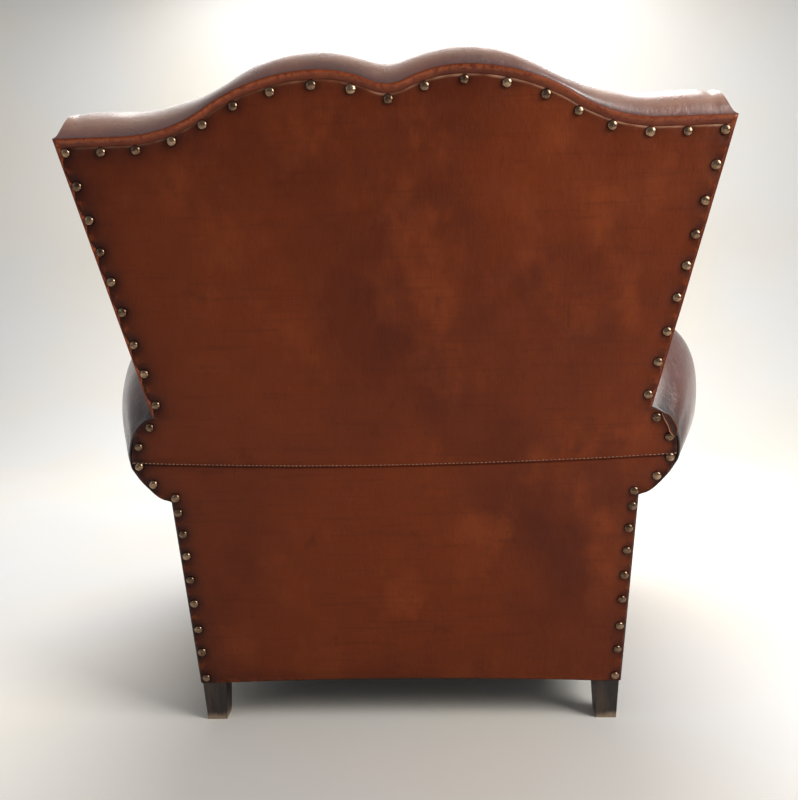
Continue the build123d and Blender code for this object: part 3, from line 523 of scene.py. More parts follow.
@dataclass(frozen=True)
class Leather:
    """Aged cognac leather: mottled dye, painted shade at its edges and creases, painted highlights and a
    painted sheen, fine grain and a waxed sheen.
    """

    name: str
    dark: Colour
    middle: Colour
    light: Colour
    # Tone of the painted shade at edges, seams, nails and creases.
    painted_shade: Colour
    # Tone of the painted highlights on cut edges and of the painted sheen.
    pale: Colour = field(default_factory=lambda: paint(206, 160, 126))
    rough: float = 0.42
    gloss: float = 0.28
    wax: float = 0.0
    mottle: float = 3.2
    crease: float = 0.35
    bend: float = 1.5
    bloom: float = 0.0
    # How strongly the painted sheen lightens the colour.
    painted_sheen: float = 0.0
    shift: Triple = (0.0, 0.0, 0.0)

    def make(self) -> bpy.types.Material:
        """Build the node tree and return the material."""
        n = Nodes(self.name)
        clouds = n.noise(self.mottle, 5, 0.6, (1, 1, 0.8), self.shift)
        patches = n.noise(self.mottle * 3.3, 4, 0.6, (1, 1, 0.7), self.shift)
        stains = n.noise(self.mottle * 5.5, 3, 0.7, (1, 1, 0.9), self.shift)
        streaks = n.noise(46, 4, 0.6, (0.22, 1, 3.2), self.shift)
        specks = n.noise(170, 3, 0.7)
        scuffs = n.noise(26, 5, 0.65, (1, 1, 1.6), self.shift)
        creases = n.noise(95, 6, 0.7, (1, 1, 0.45), self.shift)
        painted_shade, worn, wax = n.value("painted_shade"), n.value("worn"), n.value("wax")
        colour = n.mix(n.span(clouds, 0.36, 0.64), self.dark, self.middle)
        layers = (
            (patches, 0.48, 0.74, 0.60, self.light),
            (stains, 0.60, 0.74, 0.55, self.dark),
            (streaks, 0.50, 0.72, 0.35, self.dark),
            (specks, 0.58, 0.76, 0.45, self.dark),
        )
        for source, low, high, most, tone in layers:
            colour = n.mix(n.span(source, low, high, 0, most), colour, tone)
        # Painted shade: darker towards the shade tone where the mesh marks shade at edges, nails, seams and
        # creases.
        colour = n.mix(n.span(n.plus(painted_shade, n.times(patches, 0.25)), 0.2, 1.1), colour, self.painted_shade)
        colour = n.mix(n.span(n.times(worn, n.span(specks, 0.3, 0.6)), 0.05, 0.9), colour, self.light)
        # Painted highlight along cut edges and fold rims, in the pale tone.
        colour = n.mix(n.value("painted_edge_highlight"), colour, self.pale)
        # Painted sheen: a streaky pale veil that stands for the reflection on the roll.
        painted_sheen_share = n.times(n.value("painted_sheen"), n.span(streaks, 0.3, 0.7, 0.7 * self.painted_sheen, 1.3 * self.painted_sheen))
        sheen = n.plus(n.span(scuffs, 0.35, 0.7, -0.06, 0.10), n.span(patches, 0.3, 0.7, -0.03, 0.05))
        if self.wax:
            # The coat is thinner where the painted shade lies.
            polish = n.times(n.span(wax, 0, 1, 0.15, 1), n.span(painted_shade, 0.2, 0.9, 1, 0.25))
            n.finish(Coat_Weight=n.times(polish, self.wax), Sheen_Weight=n.times(wax, self.bloom))
        grain = n.bump(n.cells(820), 0.00018, 0.32)
        grain = n.bump(n.span(creases, 0.42, 0.62), 0.0005, self.crease, grain)
        return n.finish(
            Base_Color=n.mix(painted_sheen_share, colour, self.pale),
            Roughness=n.plus(n.plus(self.rough, sheen), n.times(worn, -0.06)),
            Specular_IOR_Level=self.gloss,
            Coat_Roughness=0.27,
            Coat_IOR=self.bend,
            Sheen_Roughness=0.4,
            Normal=n.bump(n.noise(22, 3, 0.5), 0.0016, 0.25, grain),
        )


@dataclass(frozen=True)
class Brass:
    """Antique brass nails: bright on the dome, brown in the hollows."""

    name: str = "aged_brass"
    bright: Colour = field(default_factory=lambda: paint(176, 146, 118))
    dull: Colour = field(default_factory=lambda: paint(84, 62, 48))

    def make(self) -> bpy.types.Material:
        """Build the node tree and return the material."""
        n = Nodes(self.name)
        tarnish = n.noise(240, 4, 0.65)
        each = n.noise(19, 1, 0.5)
        share = n.plus(n.span(tarnish, 0.3, 0.7, 0.2, 0.6), n.span(each, 0.35, 0.68, -0.2, 0.3))
        share = n.times(share, n.span(n.value("dome"), -0.1, 0.5))
        return n.finish(
            Base_Color=n.mix(share, self.dull, self.bright),
            Metallic=1.0,
            Roughness=n.span(tarnish, 0.3, 0.7, 0.30, 0.20),
            Normal=n.bump(n.noise(700, 3, 0.6), 0.0001, 0.25),
        )


@dataclass(frozen=True)
class Wood:
    """Planed or stained beech with grain along its length."""

    name: str
    dark: Colour
    light: Colour
    rough: float = 0.5
    worn: Colour | None = None

    def make(self) -> bpy.types.Material:
        """Build the node tree and return the material."""
        n = Nodes(self.name)
        grain = n.noise(60, 5, 0.6, (1, 1, 0.08))
        flecks = n.noise(420, 3, 0.6, (1, 1, 0.12))
        colour = n.mix(n.span(grain, 0.35, 0.66), self.dark, self.light)
        colour = n.mix(n.span(flecks, 0.55, 0.75, 0, 0.5), colour, self.dark)
        if self.worn is not None:
            height = n.add("SeparateXYZ", {0: n.place}).outputs[2]
            edge = n.plus(height, n.times(n.noise(90, 3), -0.012))
            colour = n.mix(n.span(edge, -0.005, 0.006, 0.85, 0), colour, self.worn)
        return n.finish(
            Base_Color=colour,
            Roughness=n.span(flecks, 0.3, 0.7, self.rough - 0.08, self.rough + 0.12),
            Normal=n.bump(flecks, 0.0004, 0.4),
        )


@dataclass(frozen=True)
class Cloth:
    """Plain woven cloth, webbing, stuffing or thread."""

    name: str
    dark: Colour
    light: Colour
    threads: float = 700.0

    def make(self) -> bpy.types.Material:
        """Build the node tree and return the material."""
        n = Nodes(self.name)
        inputs = {"Vector": n.place, "Scale": self.threads / 6, "Distortion": 0.6}
        warp, weft = (n.add("TexWave", inputs, bands_direction=way).outputs["Fac"] for way in "XZ")
        weave = n.times(warp, weft)
        fibres = n.noise(160, 4, 0.7)
        share = n.plus(n.times(weave, 0.5), n.span(fibres, 0.3, 0.7, 0, 0.6))
        return n.finish(
            Base_Color=n.mix(share, self.dark, self.light),
            Roughness=n.span(fibres, 0.3, 0.7, 0.8, 0.95),
            Normal=n.bump(weave, 0.0006, 0.5),
        )


@dataclass(frozen=True)
class Steel:
    """Dull drawn wire."""

    name: str = "spring_wire"
    bright: Colour = field(default_factory=lambda: paint(150, 148, 144))
    dull: Colour = field(default_factory=lambda: paint(96, 84, 74))

    def make(self) -> bpy.types.Material:
        """Build the node tree and return the material."""
        n = Nodes(self.name)
        spots = n.noise(130, 4, 0.6)
        return n.finish(
            Base_Color=n.mix(n.span(spots, 0.4, 0.7), self.bright, self.dull),
            Roughness=n.span(spots, 0.3, 0.7, 0.3, 0.5),
            Metallic=1.0,
        )


class Finishes:
    """All finishes of the chair, made once."""

    def __init__(self) -> None:
        """Make each material."""
        # The fourth colour of each leather is the tone of its painted shade.
        self.back = Leather(
            "back_leather", paint(84, 32, 12), paint(110, 45, 14), paint(136, 62, 25), paint(46, 16, 8),
            gloss=0.16,
        ).make()
        self.arms = Leather(
            "arm_leather", paint(64, 26, 14), paint(92, 38, 18), paint(118, 56, 30), paint(38, 15, 9),
            rough=0.34, gloss=0.5, wax=0.9, bend=1.8, bloom=0.5, mottle=5.0, crease=0.6,
            shift=(3.0, 1.0, 0.0),
        ).make()
        self.inside = Leather(
            "inside_leather", paint(84, 34, 15), paint(118, 52, 24), paint(148, 78, 42), paint(50, 20, 10),
            rough=0.34, gloss=0.7, wax=1.0, bend=2.2, bloom=0.8, painted_sheen=0.42, mottle=4.5, crease=0.5,
            shift=(1.0, 4.0, 2.0),
        ).make()
        self.edge = Leather(
            "edge_leather", paint(94, 36, 14), paint(120, 48, 18), paint(146, 72, 36), paint(60, 22, 9),
            rough=0.36, gloss=0.3, crease=0.12,
        ).make()
        self.seat = Leather(
            "cushion_leather", paint(70, 29, 14), paint(100, 42, 19), paint(128, 62, 32), paint(40, 16, 9),
            rough=0.38, gloss=0.4, wax=0.2, mottle=6.0, crease=0.7, shift=(5.0, 2.0, 3.0),
        ).make()
        self.brass = Brass().make()
        self.feet = Wood(
            "stained_wood", paint(28, 20, 16), paint(62, 46, 36), worn=paint(150, 128, 104)
        ).make()
        self.rails = Wood("stained_beech", paint(26, 19, 15), paint(48, 36, 28), 0.6).make()
        self.beech = Wood("beech", paint(170, 126, 84), paint(206, 166, 120), 0.55).make()
        self.stuffing = Cloth("stuffing", paint(150, 132, 106), paint(198, 184, 158), 500).make()
        self.hessian = Cloth("hessian", paint(110, 84, 50), paint(168, 136, 90), 420).make()
        self.webbing = Cloth("webbing", paint(104, 78, 46), paint(176, 144, 98), 260).make()
        self.black = Cloth("black_cloth", paint(10, 10, 11), paint(30, 29, 29), 900).make()
        self.thread = Cloth("thread", paint(104, 62, 46), paint(196, 156, 130), 2600).make()
        self.steel = Steel().make()


def dress(piece: Piece, material: bpy.types.Material, slot: str, body: str, *nodes: str) -> None:
    """Give a new piece its finish and its place in the part.

    Args:
        piece: the new piece.
        material: its finish.
        slot: not used.
        body: the body that it rides on.
        nodes: the CAD nodes that it stands for.
    """
    piece.data.materials.clear()
    piece.data.materials.append(material)
    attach(piece, body)
    if nodes:
        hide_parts(*nodes)
    LOG.info("made %s", piece.name)


@dataclass
class OutsideBack:
    """Outside back: two pieces of leather, their seam, its stitches and the small fold at one waist."""

    form: BackForm
    side_band: float = 0.0015
    broad_relief: float = 0.0016
    fine_relief: float = 0.0005
    dimple: float = 0.0012
    dimple_reach: float = 0.0105
    pillow: float = 0.0013
    gathers: float = 0.00022
    edge_fall: float = 0.0012
    butt: float = 0.0002
    lip: float = 0.0009
    stitch_rise: float = 0.0022
    stitch_pitch: float = 0.0052
    stitch_length: float = 0.0038
    stitch_radius: float = 0.00055
    stitch_inset: float = 0.004
    fold_drop: float = 0.034
    fold_half: float = 0.0058
    fold_lift: float = 0.0030
    fold_inset: float = 0.0035

    def relief(self, flat: Array, edge: Array) -> Array:
        """Slow swell of the leather away from its edges."""
        broad = self.broad_relief * waves(flat, 0.34, 3) * smooth(0.0, 0.06, edge)
        return broad + self.fine_relief * waves(flat, 0.07, 8, 7) * smooth(0.0, 0.04, edge)

    def sheet(self, name: str, low: Callable, high: Callable, size: tuple[int, int], nails: Array,
              lip_low: bool) -> Piece:
        """One piece of leather between two curves, with dimples at its nails.

        A point's share across sets x as a share of the half width at its height, and its share up
        sets its height between the curves. The leather swells a little between nails along its edge.

        Args:
            name: name of the piece.
            low: height of the lower edge at x.
            high: height of the upper edge at x.
            size: numbers of rows and columns.
            nails: places of the nails.
            lip_low: whether the lower edge is folded into a lip.

        Returns:
            The new piece.
        """
        form = self.form
        across = np.linspace(-1, 1, size[1])[None, :]
        across = np.sign(across) * (1 - (1 - np.abs(across)) ** 1.12)
        up = np.linspace(0, 1, size[0])[:, None]
        x = across * form.corner_half
        for _ in range(4):
            height = blend(low(x), high(x), up)
            x = across * (form.half_width(height) - self.side_band)
        flat = form.place(x, height, np.zeros_like(x))
        to_nail = nearest(flat, nails)
        to_side = form.half_width(height) - np.abs(x)
        edge = np.minimum(to_side, form.crest(x) - height)
        edge = np.minimum(edge, height - form.panel_bottom + 0.004)
        dent = bell(to_nail, 0, self.dimple_reach)
        swell = bell(edge, 0.004, 0.011) * smooth(0.006, 0.022, to_nail)
        rays = bell(to_nail, 0.013, 0.009) * np.sin(to_nail * 1400 + 3 * waves(flat, 0.03, 5))
        out = -self.dimple * dent + self.pillow * swell
        out += self.relief(flat, edge)
        out += self.gathers * rays
        out -= self.edge_fall * smooth(0.0035, 0.0, edge)
        if lip_low:
            above = height - form.seam(x)
            out += self.lip * bell(above, 0.0030, 0.0022) + 0.0004 * smooth(0.012, 0.0, above)
        else:
            out -= 0.0007 * smooth(0.010, 0.0, form.seam(x) - height)
        # Painted shade: darker along the edges and round the nails, and darker towards +X, the side away
        # from the window lamp.
        painted_shade = 0.6 * np.exp(-edge / 0.018) + 0.3 * dent + 0.32 * smooth(-0.15, 0.38, x)
        # Painted shade in the seam's crease.
        painted_shade += 0.35 * np.exp(-np.abs(form.seam(x) - height) / 0.004)
        # Painted shade along the side edge at the ear, where the arm's end meets the back.
        by_ear = smooth(form.under_height - 0.01, form.under_height + 0.02, height)
        by_ear *= smooth(form.waist_height, form.waist_height - 0.02, height)
        painted_shade += 1.1 * by_ear * bell(to_side, 0, 0.006)
        # Painted highlight along the cut edge under the crest band, brighter towards -X, the side that the
        # window lamp lights.
        painted_edge_highlight = bell(form.crest(x) - form.crest_band - height, 0.0006, 0.0011)
        painted_edge_highlight = (0.35 + 0.65 * smooth(0.08, -0.08, x)) * painted_edge_highlight * (0.55 + 0.45 * waves(flat, 0.03, 9, 5))
        values = {"painted_shade": painted_shade, "worn": 0.5 * swell, "painted_edge_highlight": np.clip(painted_edge_highlight, 0, 1)}
        return grid_piece(name, form.place(x, height, out), values, Way.TURN, LEATHER_THICKNESS)

    def fold(self) -> Piece:
        """The small open fold beside one waist, shaped as a shallow boat, with painted shade in its hollow
        and a painted highlight on its upturned rims.

        Share along runs from the waist down the ear, share across from rim to rim; the width falls
        to nothing at both ends, and the surface rises with the fourth power of the share across.
        """
        form = self.form
        along = np.linspace(0, 1, 41)[:, None]
        across = np.linspace(-1, 1, 15)[None, :]
        height = form.waist_height - 0.003 - self.fold_drop * along
        x = -form.half_width(height) + self.fold_inset
        width = self.fold_half * np.sin(pi * along) ** 0.7 * (1 + 0.12 * np.sin(along * 11))
        lean = self.fold_drop / (form.half_width(height[-1:]) - form.half_width(height[:1]))
        size = np.hypot(1, lean)
        x = x + across * width * lean / size
        height = height - across * width / size
        out = 0.0010 + self.fold_lift * np.abs(across) ** 4 * np.sin(pi * along) ** 0.5
        # Painted shade along the fold's hollow and a painted highlight on its rims.
        values = {"painted_shade": 1.2 * (1 - across**2), "painted_edge_highlight": smooth(0.8, 1.0, np.abs(across))}
        return grid_piece("waist_fold", form.place(x, height, out), values, Way.TURN)

    def stitches(self) -> Piece:
        """Thread stitches along the seam: short capsules, each turned a little along the arc."""
        form = self.form
        half = float(form.half_width(np.array(form.seam_height - 0.004))) - self.stitch_inset
        count = int(2 * half / self.stitch_pitch)
        middle = np.linspace(-half, half, count)
        turn = np.linspace(0, 2 * pi, 7)[:-1]
        along = np.array([-0.5, -0.42, 0.0, 0.42, 0.5]) * self.stitch_length
        size = np.array([0.15, 0.8, 1.0, 0.8, 0.15]) * self.stitch_radius
        lift = np.array([-0.7, 0.1, 0.5, 0.1, -0.7]) * self.stitch_radius
        x = middle[:, None, None] + along[None, :, None] + 0 * turn
        line = form.seam(x) + self.stitch_rise
        height = line + size[None, :, None] * np.cos(turn)
        out = self.relief(form.place(x, line, 0 * x), form.half_width(line) - np.abs(x))
        out = out + self.lip + lift[None, :, None] + size[None, :, None] * np.sin(turn)
        each = len(along) * len(turn)
        faces = copies(quads(len(along), len(turn), True, Way.KEEP), each, count)
        return mesh_piece("seam_stitches", form.place(x, height, out).reshape(-1, 3), faces)

    def build(self, finishes: Finishes) -> None:
        """Make the two pieces, the stitches and the fold."""
        form = self.form
        nails = form.draw_in(nail_places("back_nails"))
        upper = self.sheet(
            "outside_back_upper",
            lambda x: form.seam(x) - self.butt,
            lambda x: form.crest(x) - form.crest_band, (150, 271), nails, True,
        )
        dress(upper, finishes.back, "back_leather", CHAIR, "back_outside_upper")
        lower = self.sheet(
            "outside_back_lower",
            lambda x: form.panel_bottom + form.panel_bow * (1 - (x / form.base_half) ** 2),
            lambda x: form.seam(x) + self.butt, (121, 221), nails, False,
        )
        dress(lower, finishes.back, "back_leather", CHAIR, "back_outside_lower")
        dress(self.stitches(), finishes.thread, "hessian", CHAIR)
        dress(self.fold(), finishes.edge, "leather", CHAIR)


@dataclass
class InsideBack:
    """Inside back: one leather from the band behind the crest, over the roll and down to the seat."""

    form: BackForm
    arm: ArmForm
    rise: float = 0.035
    slope_loss: float = 0.012
    slope_middle: float = 0.197
    slope_reach: float = 0.042
    cleft_gain: float = 0.004
    cleft_reach: float = 0.030
    shoulder_gain: float = 0.003
    end_taper: float = 0.018
    reach: float = 0.050
    depth_top: float = 0.145
    depth_side: float = 0.104
    depth_bottom: float = 0.200
    shoulder: float = 0.036
    bulge: float = 0.012
    bottom: float = 0.292
    side_round: float = 0.040
    pucker: float = 0.0010
    sag: float = 0.0020
    cleft_depth: float = 0.0020
    cleft_half: float = 0.012
    pleat_depth: float = 0.0012
    pleat_half: float = 0.006
    pleat_place: float = 0.372
    arm_margin: float = 0.006
    climb_top: float = 0.20
    climb_front: float = 0.46
    rows: int = 170
    main_columns: int = 211
    corner_columns: int = 14
    side_columns: int = 16
    band: float = 0.024
    band_lift: float = 0.0034
    band_relief: float = 0.0004

    def rise_at(self, x: Array) -> Array:
        """Height of the roll over the crest's edge: less on the outer slopes of the humps."""
        x = np.abs(x)
        loss = self.slope_loss * bell(x, self.slope_middle, self.slope_reach)
        gain = self.cleft_gain * bell(x, 0, self.cleft_reach)
        return self.rise - loss + gain + self.shoulder_gain * smooth(0.27, 0.34, x)

    def columns(self) -> tuple[Array, ...]:
        """Columns of the cover from side to side.

        Returns:
            Share of the half width, how far the corner has turned, and how far along the side face.
        """
        half = self.side_round / self.form.corner_half
        quarter = np.sin(np.linspace(0, pi / 2, self.corner_columns + 1)[1:])
        side = np.linspace(0, 1, self.side_columns + 1)[1:]
        main = np.linspace(-1 + half, 1 - half, self.main_columns)
        level, full = np.zeros_like(main), np.ones_like(side)
        runs = (
            (-1, main, 1 - half + half * quarter, full),
            (1, level, 1 - np.sqrt(1 - quarter**2), full),
            (1, level, np.zeros_like(quarter), side),
        )
        ends = [(sign, middle, np.concatenate(end)) for sign, middle, *end in runs]
        return tuple(np.concatenate([sign * end[::-1], middle, end])[None, :] for sign, middle, end in ends)

    def cover(self) -> Piece:
        """The leather over the roll and the front face, with its rounded sides.

        A row's climb from 0 to 1 runs from the sharp rear edge up a quarter of an oval to the top of
        the roll, down a second quarter to the shoulder and on down the bulging front face. Columns
        stand in a fan of planes that follows the splayed edges. Towards the sides the section
        shrinks to the rear edge, so that the outer columns make the side faces.
        """
        form = self.form
        across, corner, flat = self.columns()
        climb = np.linspace(0, 1, self.rows)[:, None]
        one = np.clip(climb / self.climb_top, 0, 1) * pi / 2
        two = np.clip((climb - self.climb_top) / (self.climb_front - self.climb_top), 0, 1) * pi / 2
        fall = np.clip((climb - self.climb_front) / (1 - self.climb_front), 0, 1)
        edge_x = across * form.corner_half
        crest_z = form.crest(edge_x) * cos(form.lean)
        rise = self.rise_at(edge_x) * (1 - 0.12 * corner)
        size = 1 - (1 - self.depth_side / self.depth_top) * corner
        depth = self.reach * (1 - np.cos(one)) ** 0.9 + (self.depth_top - self.reach) * np.sin(two)
        depth = depth + self.bulge * 4 * fall * (1 - fall) + (self.depth_bottom - self.depth_top) * fall
        lift = rise * np.sin(one) ** 1.15 - (rise + self.shoulder) * (1 - np.cos(two))
        lift = lift - (crest_z - self.bottom - self.shoulder) * fall
        shown = np.maximum(lift, 0) * (1 - flat) ** 0.8
        z = crest_z + np.where(lift > 0, shown, lift)
        splay = (form.corner_height - form.waist_height) / (form.corner_half - form.waist_half)
        low = (form.waist_height - form.waist_half * splay) * cos(form.lean)
        x = edge_x / (crest_z - low) * (np.minimum(z, crest_z) - low)
        taper = self.end_taper * np.sqrt(shown / self.rise) * smooth(0.80, 1.0, np.abs(across))
        x = x - np.sign(across) * taper
        y = form.heel + z * tan(form.lean) - depth * size * (1 - flat)
        points = spread(x, y, z)
        top = smooth(0.0, 0.05, climb) * smooth(0.75, 0.35, climb)
        pucker = self.pucker * waves(points, 0.10, 21, 6) * smooth(0.05, 0.2, climb)
        pucker *= smooth(0.5, 0.3, climb)
        sag = self.sag * waves(points, 0.42, 27, 4) * smooth(0.3, 0.5, climb)
        points[..., 1] -= (pucker + sag) * (1 - flat)
        cleft = bell(x, 0, self.cleft_half) * top
        points[..., 2] -= self.cleft_depth * cleft
        pleat = bell(np.abs(x), self.pleat_place, self.pleat_half) * top
        points[..., 2] -= self.pleat_depth * pleat
        wax = smooth(0.34, 0.16, climb) * (1 - flat)
        values = {
            # Painted shade at the rear edge, in the cleft and low on the front face towards the seat.
            "painted_shade": 0.5 * np.exp(-climb / 0.02) + 0.5 * cleft + 0.35 * smooth(0.6, 1.0, climb),
            "worn": 0.7 * bell(climb, 0.17, 0.12),
            "wax": wax,
            # Painted sheen over the roll's top, in place of the reflection of the pale room.
            "painted_sheen": wax * smooth(0.01, 0.09, climb),
        }
        keep = ~self.arm.inside(points, self.arm_margin)
        return grid_piece("inside_back_cover", points, values, Way.TURN, keep=keep)

    def edge_band(self) -> Piece:
        """The band of the same leather that is turned on to the rear edge, under the outside back.

        It follows the outline from the waist up the side, over the crest and down again; its rows
        run from the sharp edge inwards on the leaning face.
        """
        form = self.form
        side = np.linspace(form.waist_height + 0.002, form.corner_height, 90)
        x_side = form.half_width(side)
        x_top = np.linspace(form.corner_half, -form.corner_half, 321)[1:-1]
        x = np.concatenate([x_side, x_top, -x_side[::-1]])
        height = np.concatenate([side, form.crest(x_top), side[::-1]])
        step_x, step_h = np.gradient(x), np.gradient(height)
        size = np.hypot(step_x, step_h)
        turn = np.linspace(0, 1, 9)[:, None]
        inward = self.band * turn**1.3
        at_x = x[None, :] + (-step_h / size)[None, :] * inward
        at_h = height[None, :] + (step_x / size)[None, :] * inward
        at_x = np.sign(at_x) * np.minimum(np.abs(at_x), form.half_width(at_h))
        proud = smooth(form.corner_height - 0.02, form.corner_height, height)[None, :]
        out = self.band_lift * proud * np.sin(np.clip(turn * 2.6, 0, 1) * pi) ** 0.8
        out = out + 0.0004 - 0.0016 * smooth(0.0, 0.35, turn)
        out += self.band_relief * waves(form.place(at_x, at_h, out), 0.05, 31, 6)
        # Painted shade on the inner part of the band, under the outside back's edge.
        values = {"painted_shade": 0.6 * smooth(0.35, 0.6, turn), "worn": bell(turn, 0.22, 0.14)}
        return grid_piece("back_edge_band", form.place(at_x, at_h, out), values)

    def build(self, finishes: Finishes) -> None:
        """Make the cover and its band."""
        dress(self.cover(), finishes.inside, "leather", CHAIR, "back_cover", "back_pad")
        dress(self.edge_band(), finishes.edge, "leather", CHAIR, "back_cover")


@dataclass
class Arms:
    """Both arms: covers, outside panels and nailed facings."""

    form: ArmForm
    puff: float = 0.003
    sag: float = 0.0016
    gathers: float = 0.0011
    facing_out: float = 0.0020
    facing_pillow: float = 0.0022
    facing_relief: float = 0.0006
    nail_dent: float = 0.0012
    nail_reach: float = 0.008
    panel_hollow: float = 0.0025
    panel_relief: float = 0.0011

    def cover(self, side: int) -> Piece:
        """Leather over one arm: up the inner wall, round the roll and under it to the side panel.

        Each row is a section of the arm. Its columns climb the wall, then turn three quarters round
        an oval whose roundness is the power of its sine and cosine, and end under the roll.

        Args:
            side: 1 for the sitter's left arm and -1 for the right.

        Returns:
            The new piece.
        """
        form = self.form
        share = np.linspace(0, 1, 210)[:, None]
        wide, tall = form.half_width(share, side), form.half_height(share, side)
        middle_x = form.inner(share) + wide
        middle_z = form.bottom(share) + tall
        wall = np.linspace(0, 1, 26)[None, :-1]
        wall_x = form.inner(share) - self.puff * np.sin(wall * pi) ** 0.8 * smooth(0, 0.06, share)
        wall_z = blend(form.wall_bottom, middle_z, wall)
        turn = np.linspace(pi, -pi / 2, 118)[None, :]
        bend = 1 - (1 - form.squareness) * smooth(0, 0.25, share)
        drawn = (2 / form.back.ear_curl - bend) * smooth(0.84, 1.0, share)
        bend = bend + drawn * smooth(0, -0.4, turn)
        roll_x = middle_x + wide * np.sign(np.cos(turn)) * np.abs(np.cos(turn)) ** bend
        roll_z = middle_z + tall * np.sign(np.sin(turn)) * np.abs(np.sin(turn)) ** bend
        tail = np.linspace(0, 1, 4)[None, 1:]
        tail_x = middle_x + (form.edge(share) - middle_x) * tail * 0.2
        tail_z = middle_z - tall + 0.002 * tail
        x = np.concatenate([wall_x, roll_x, tail_x], axis=1)
        z = np.concatenate([wall_z, roll_z, tail_z], axis=1)
        points = spread(x, form.along(share, z), z)
        around = np.concatenate([wall[0] * 0, (pi - turn[0]) / (1.5 * pi), tail[0] * 0 + 1])[None, :]
        normal_x = np.where(around > 0, (x - middle_x) / wide, -1.0)
        normal_z = np.where(around > 0, (z - middle_z) / tall, 0.0)
        gather = smooth(0.86, 0.985, share) * np.sin(around * 46 + 1.5 * np.sin(around * 9))
        sag = waves(points, 0.16, 41 + side, 6) * self.sag * smooth(0, 0.05, share)
        sag *= smooth(1.0, 0.95, share)
        push = sag - self.gathers * gather * smooth(1.0, 0.985, share) * (around > 0.05)
        points[..., 0] += normal_x * push
        points[..., 2] += normal_z * push
        points[..., 0] *= side
        # Painted shade at the front end and at the rear end, where the roll is drawn in to the back.
        painted_shade = 0.8 * np.exp(-share / 0.02) + 0.9 * np.exp(-(1 - share) / 0.035)
        # Painted shade under the roll and in the gathers.
        painted_shade = painted_shade + 0.8 * smooth(0.9, 1.0, around) + 0.3 * smooth(0.2, 1, gather)
        worn = 0.6 * bell(around, 0.33, 0.2) * smooth(0.9, 0.6, share)
        values = {"painted_shade": painted_shade, "worn": worn, "wax": smooth(0.7, 0.9, share)}
        way = Way.TURN if side > 0 else Way.KEEP
        return grid_piece(f"arm_cover_leather_{SIDES[side]}", points, values, way, LEATHER_THICKNESS)

    def outline(self, rows: int) -> tuple[Array, Array, Array]:
        """Left and right edges of the facing at rows from the floor panel up to the top of the roll."""
        form = self.form
        radius = form.radius
        middle_x, middle_z = form.inner_front + radius, form.bottom_front + radius
        low = np.linspace(form.back.panel_bottom, form.bottom_front, rows)
        turn = np.linspace(-pi / 2 + 0.06, pi / 2, rows)
        z = np.concatenate([low, middle_z + radius * np.sin(turn)])
        right = np.concatenate([np.full(rows, form.side_front), middle_x + radius * np.cos(turn)])
        round_left = middle_x - np.sqrt(np.maximum(radius**2 - np.maximum(z - middle_z, 0) ** 2, 0))
        left = np.where(z < middle_z, form.inner_front, round_left)
        return left, np.maximum(right, left + 1e-5), z

    def facing(self, side: int) -> Piece:
        """Leather facing on the front of one arm, pillowed between its nails."""
        form = self.form
        left, right, z = (edge[:, None] for edge in self.outline(70))
        across = np.linspace(0, 1, 61)[None, :]
        x = blend(left, right, across)
        points = spread(x, form.front - self.facing_out, z)
        to_nail = nearest(points, nail_places("facing_nails_left"))
        top = form.bottom_front + 2 * form.radius
        edge = np.minimum(np.minimum(x - left, right - x), np.minimum(top - z, z - form.back.panel_bottom))
        dent = bell(to_nail, 0, self.nail_reach)
        out = self.facing_pillow * smooth(0.0, 0.03, edge) - self.nail_dent * dent
        out -= 0.0012 * smooth(0.003, 0.0, edge)
        out += self.facing_relief * waves(points, 0.08, 51, 6)
        points[..., 1] -= np.clip(out, -0.001, 0.003)
        points[..., 0] *= side
        # Painted shade along the edges and in the nail dents.
        values = {"painted_shade": 0.7 * np.exp(-edge / 0.014) + 0.4 * dent, "worn": 0.3 * smooth(0.01, 0.03, edge)}
        way = Way.KEEP if side > 0 else Way.TURN
        return grid_piece(f"arm_facing_leather_{SIDES[side]}", points, values, way, LEATHER_THICKNESS)

    def panel(self, side: int) -> Piece:
        """Outside arm panel, from the front board to the outside back, with a slight sag."""
        form = self.form
        low_z = form.back.panel_bottom * cos(form.back.lean)
        share = np.linspace(0, 1, 121)[:, None]
        up = np.linspace(0, 1, 61)[None, :]
        z = blend(low_z, form.bottom(share) + 0.0005, up)
        y = blend(form.front, form.back.heel + z * tan(form.back.lean) - form.rear_gap, share)
        x = blend(form.side_front, blend(form.back.base_half, form.back.under_half, up), share)
        points = spread(x, y, z)
        edge = np.minimum(np.minimum(share, 1 - share) * 0.75, np.minimum(up, 1 - up) * 0.33)
        relief = self.panel_relief * waves(points, 0.22, 61 + side, 5) * smooth(0, 0.05, edge)
        points[..., 0] += -self.panel_hollow * smooth(0, 0.12, edge) + relief
        points[..., 0] *= side
        # Painted shade along the panel's edges.
        values = {"painted_shade": 0.75 * np.exp(-edge / 0.02)}
        way = Way.TURN if side > 0 else Way.KEEP
        return grid_piece(f"arm_outside_leather_{SIDES[side]}", points, values, way, LEATHER_THICKNESS)

    def build(self, finishes: Finishes) -> None:
        """Make both arms."""
        for side, name in SIDES.items():
            dress(self.cover(side), finishes.arms, "leather", CHAIR, f"arm_cover_{name}", f"arm_pad_{name}")
            dress(self.facing(side), finishes.arms, "leather", CHAIR, f"arm_facing_{name}")
            dress(self.panel(side), finishes.arms, "leather", CHAIR, f"arm_outside_{name}")


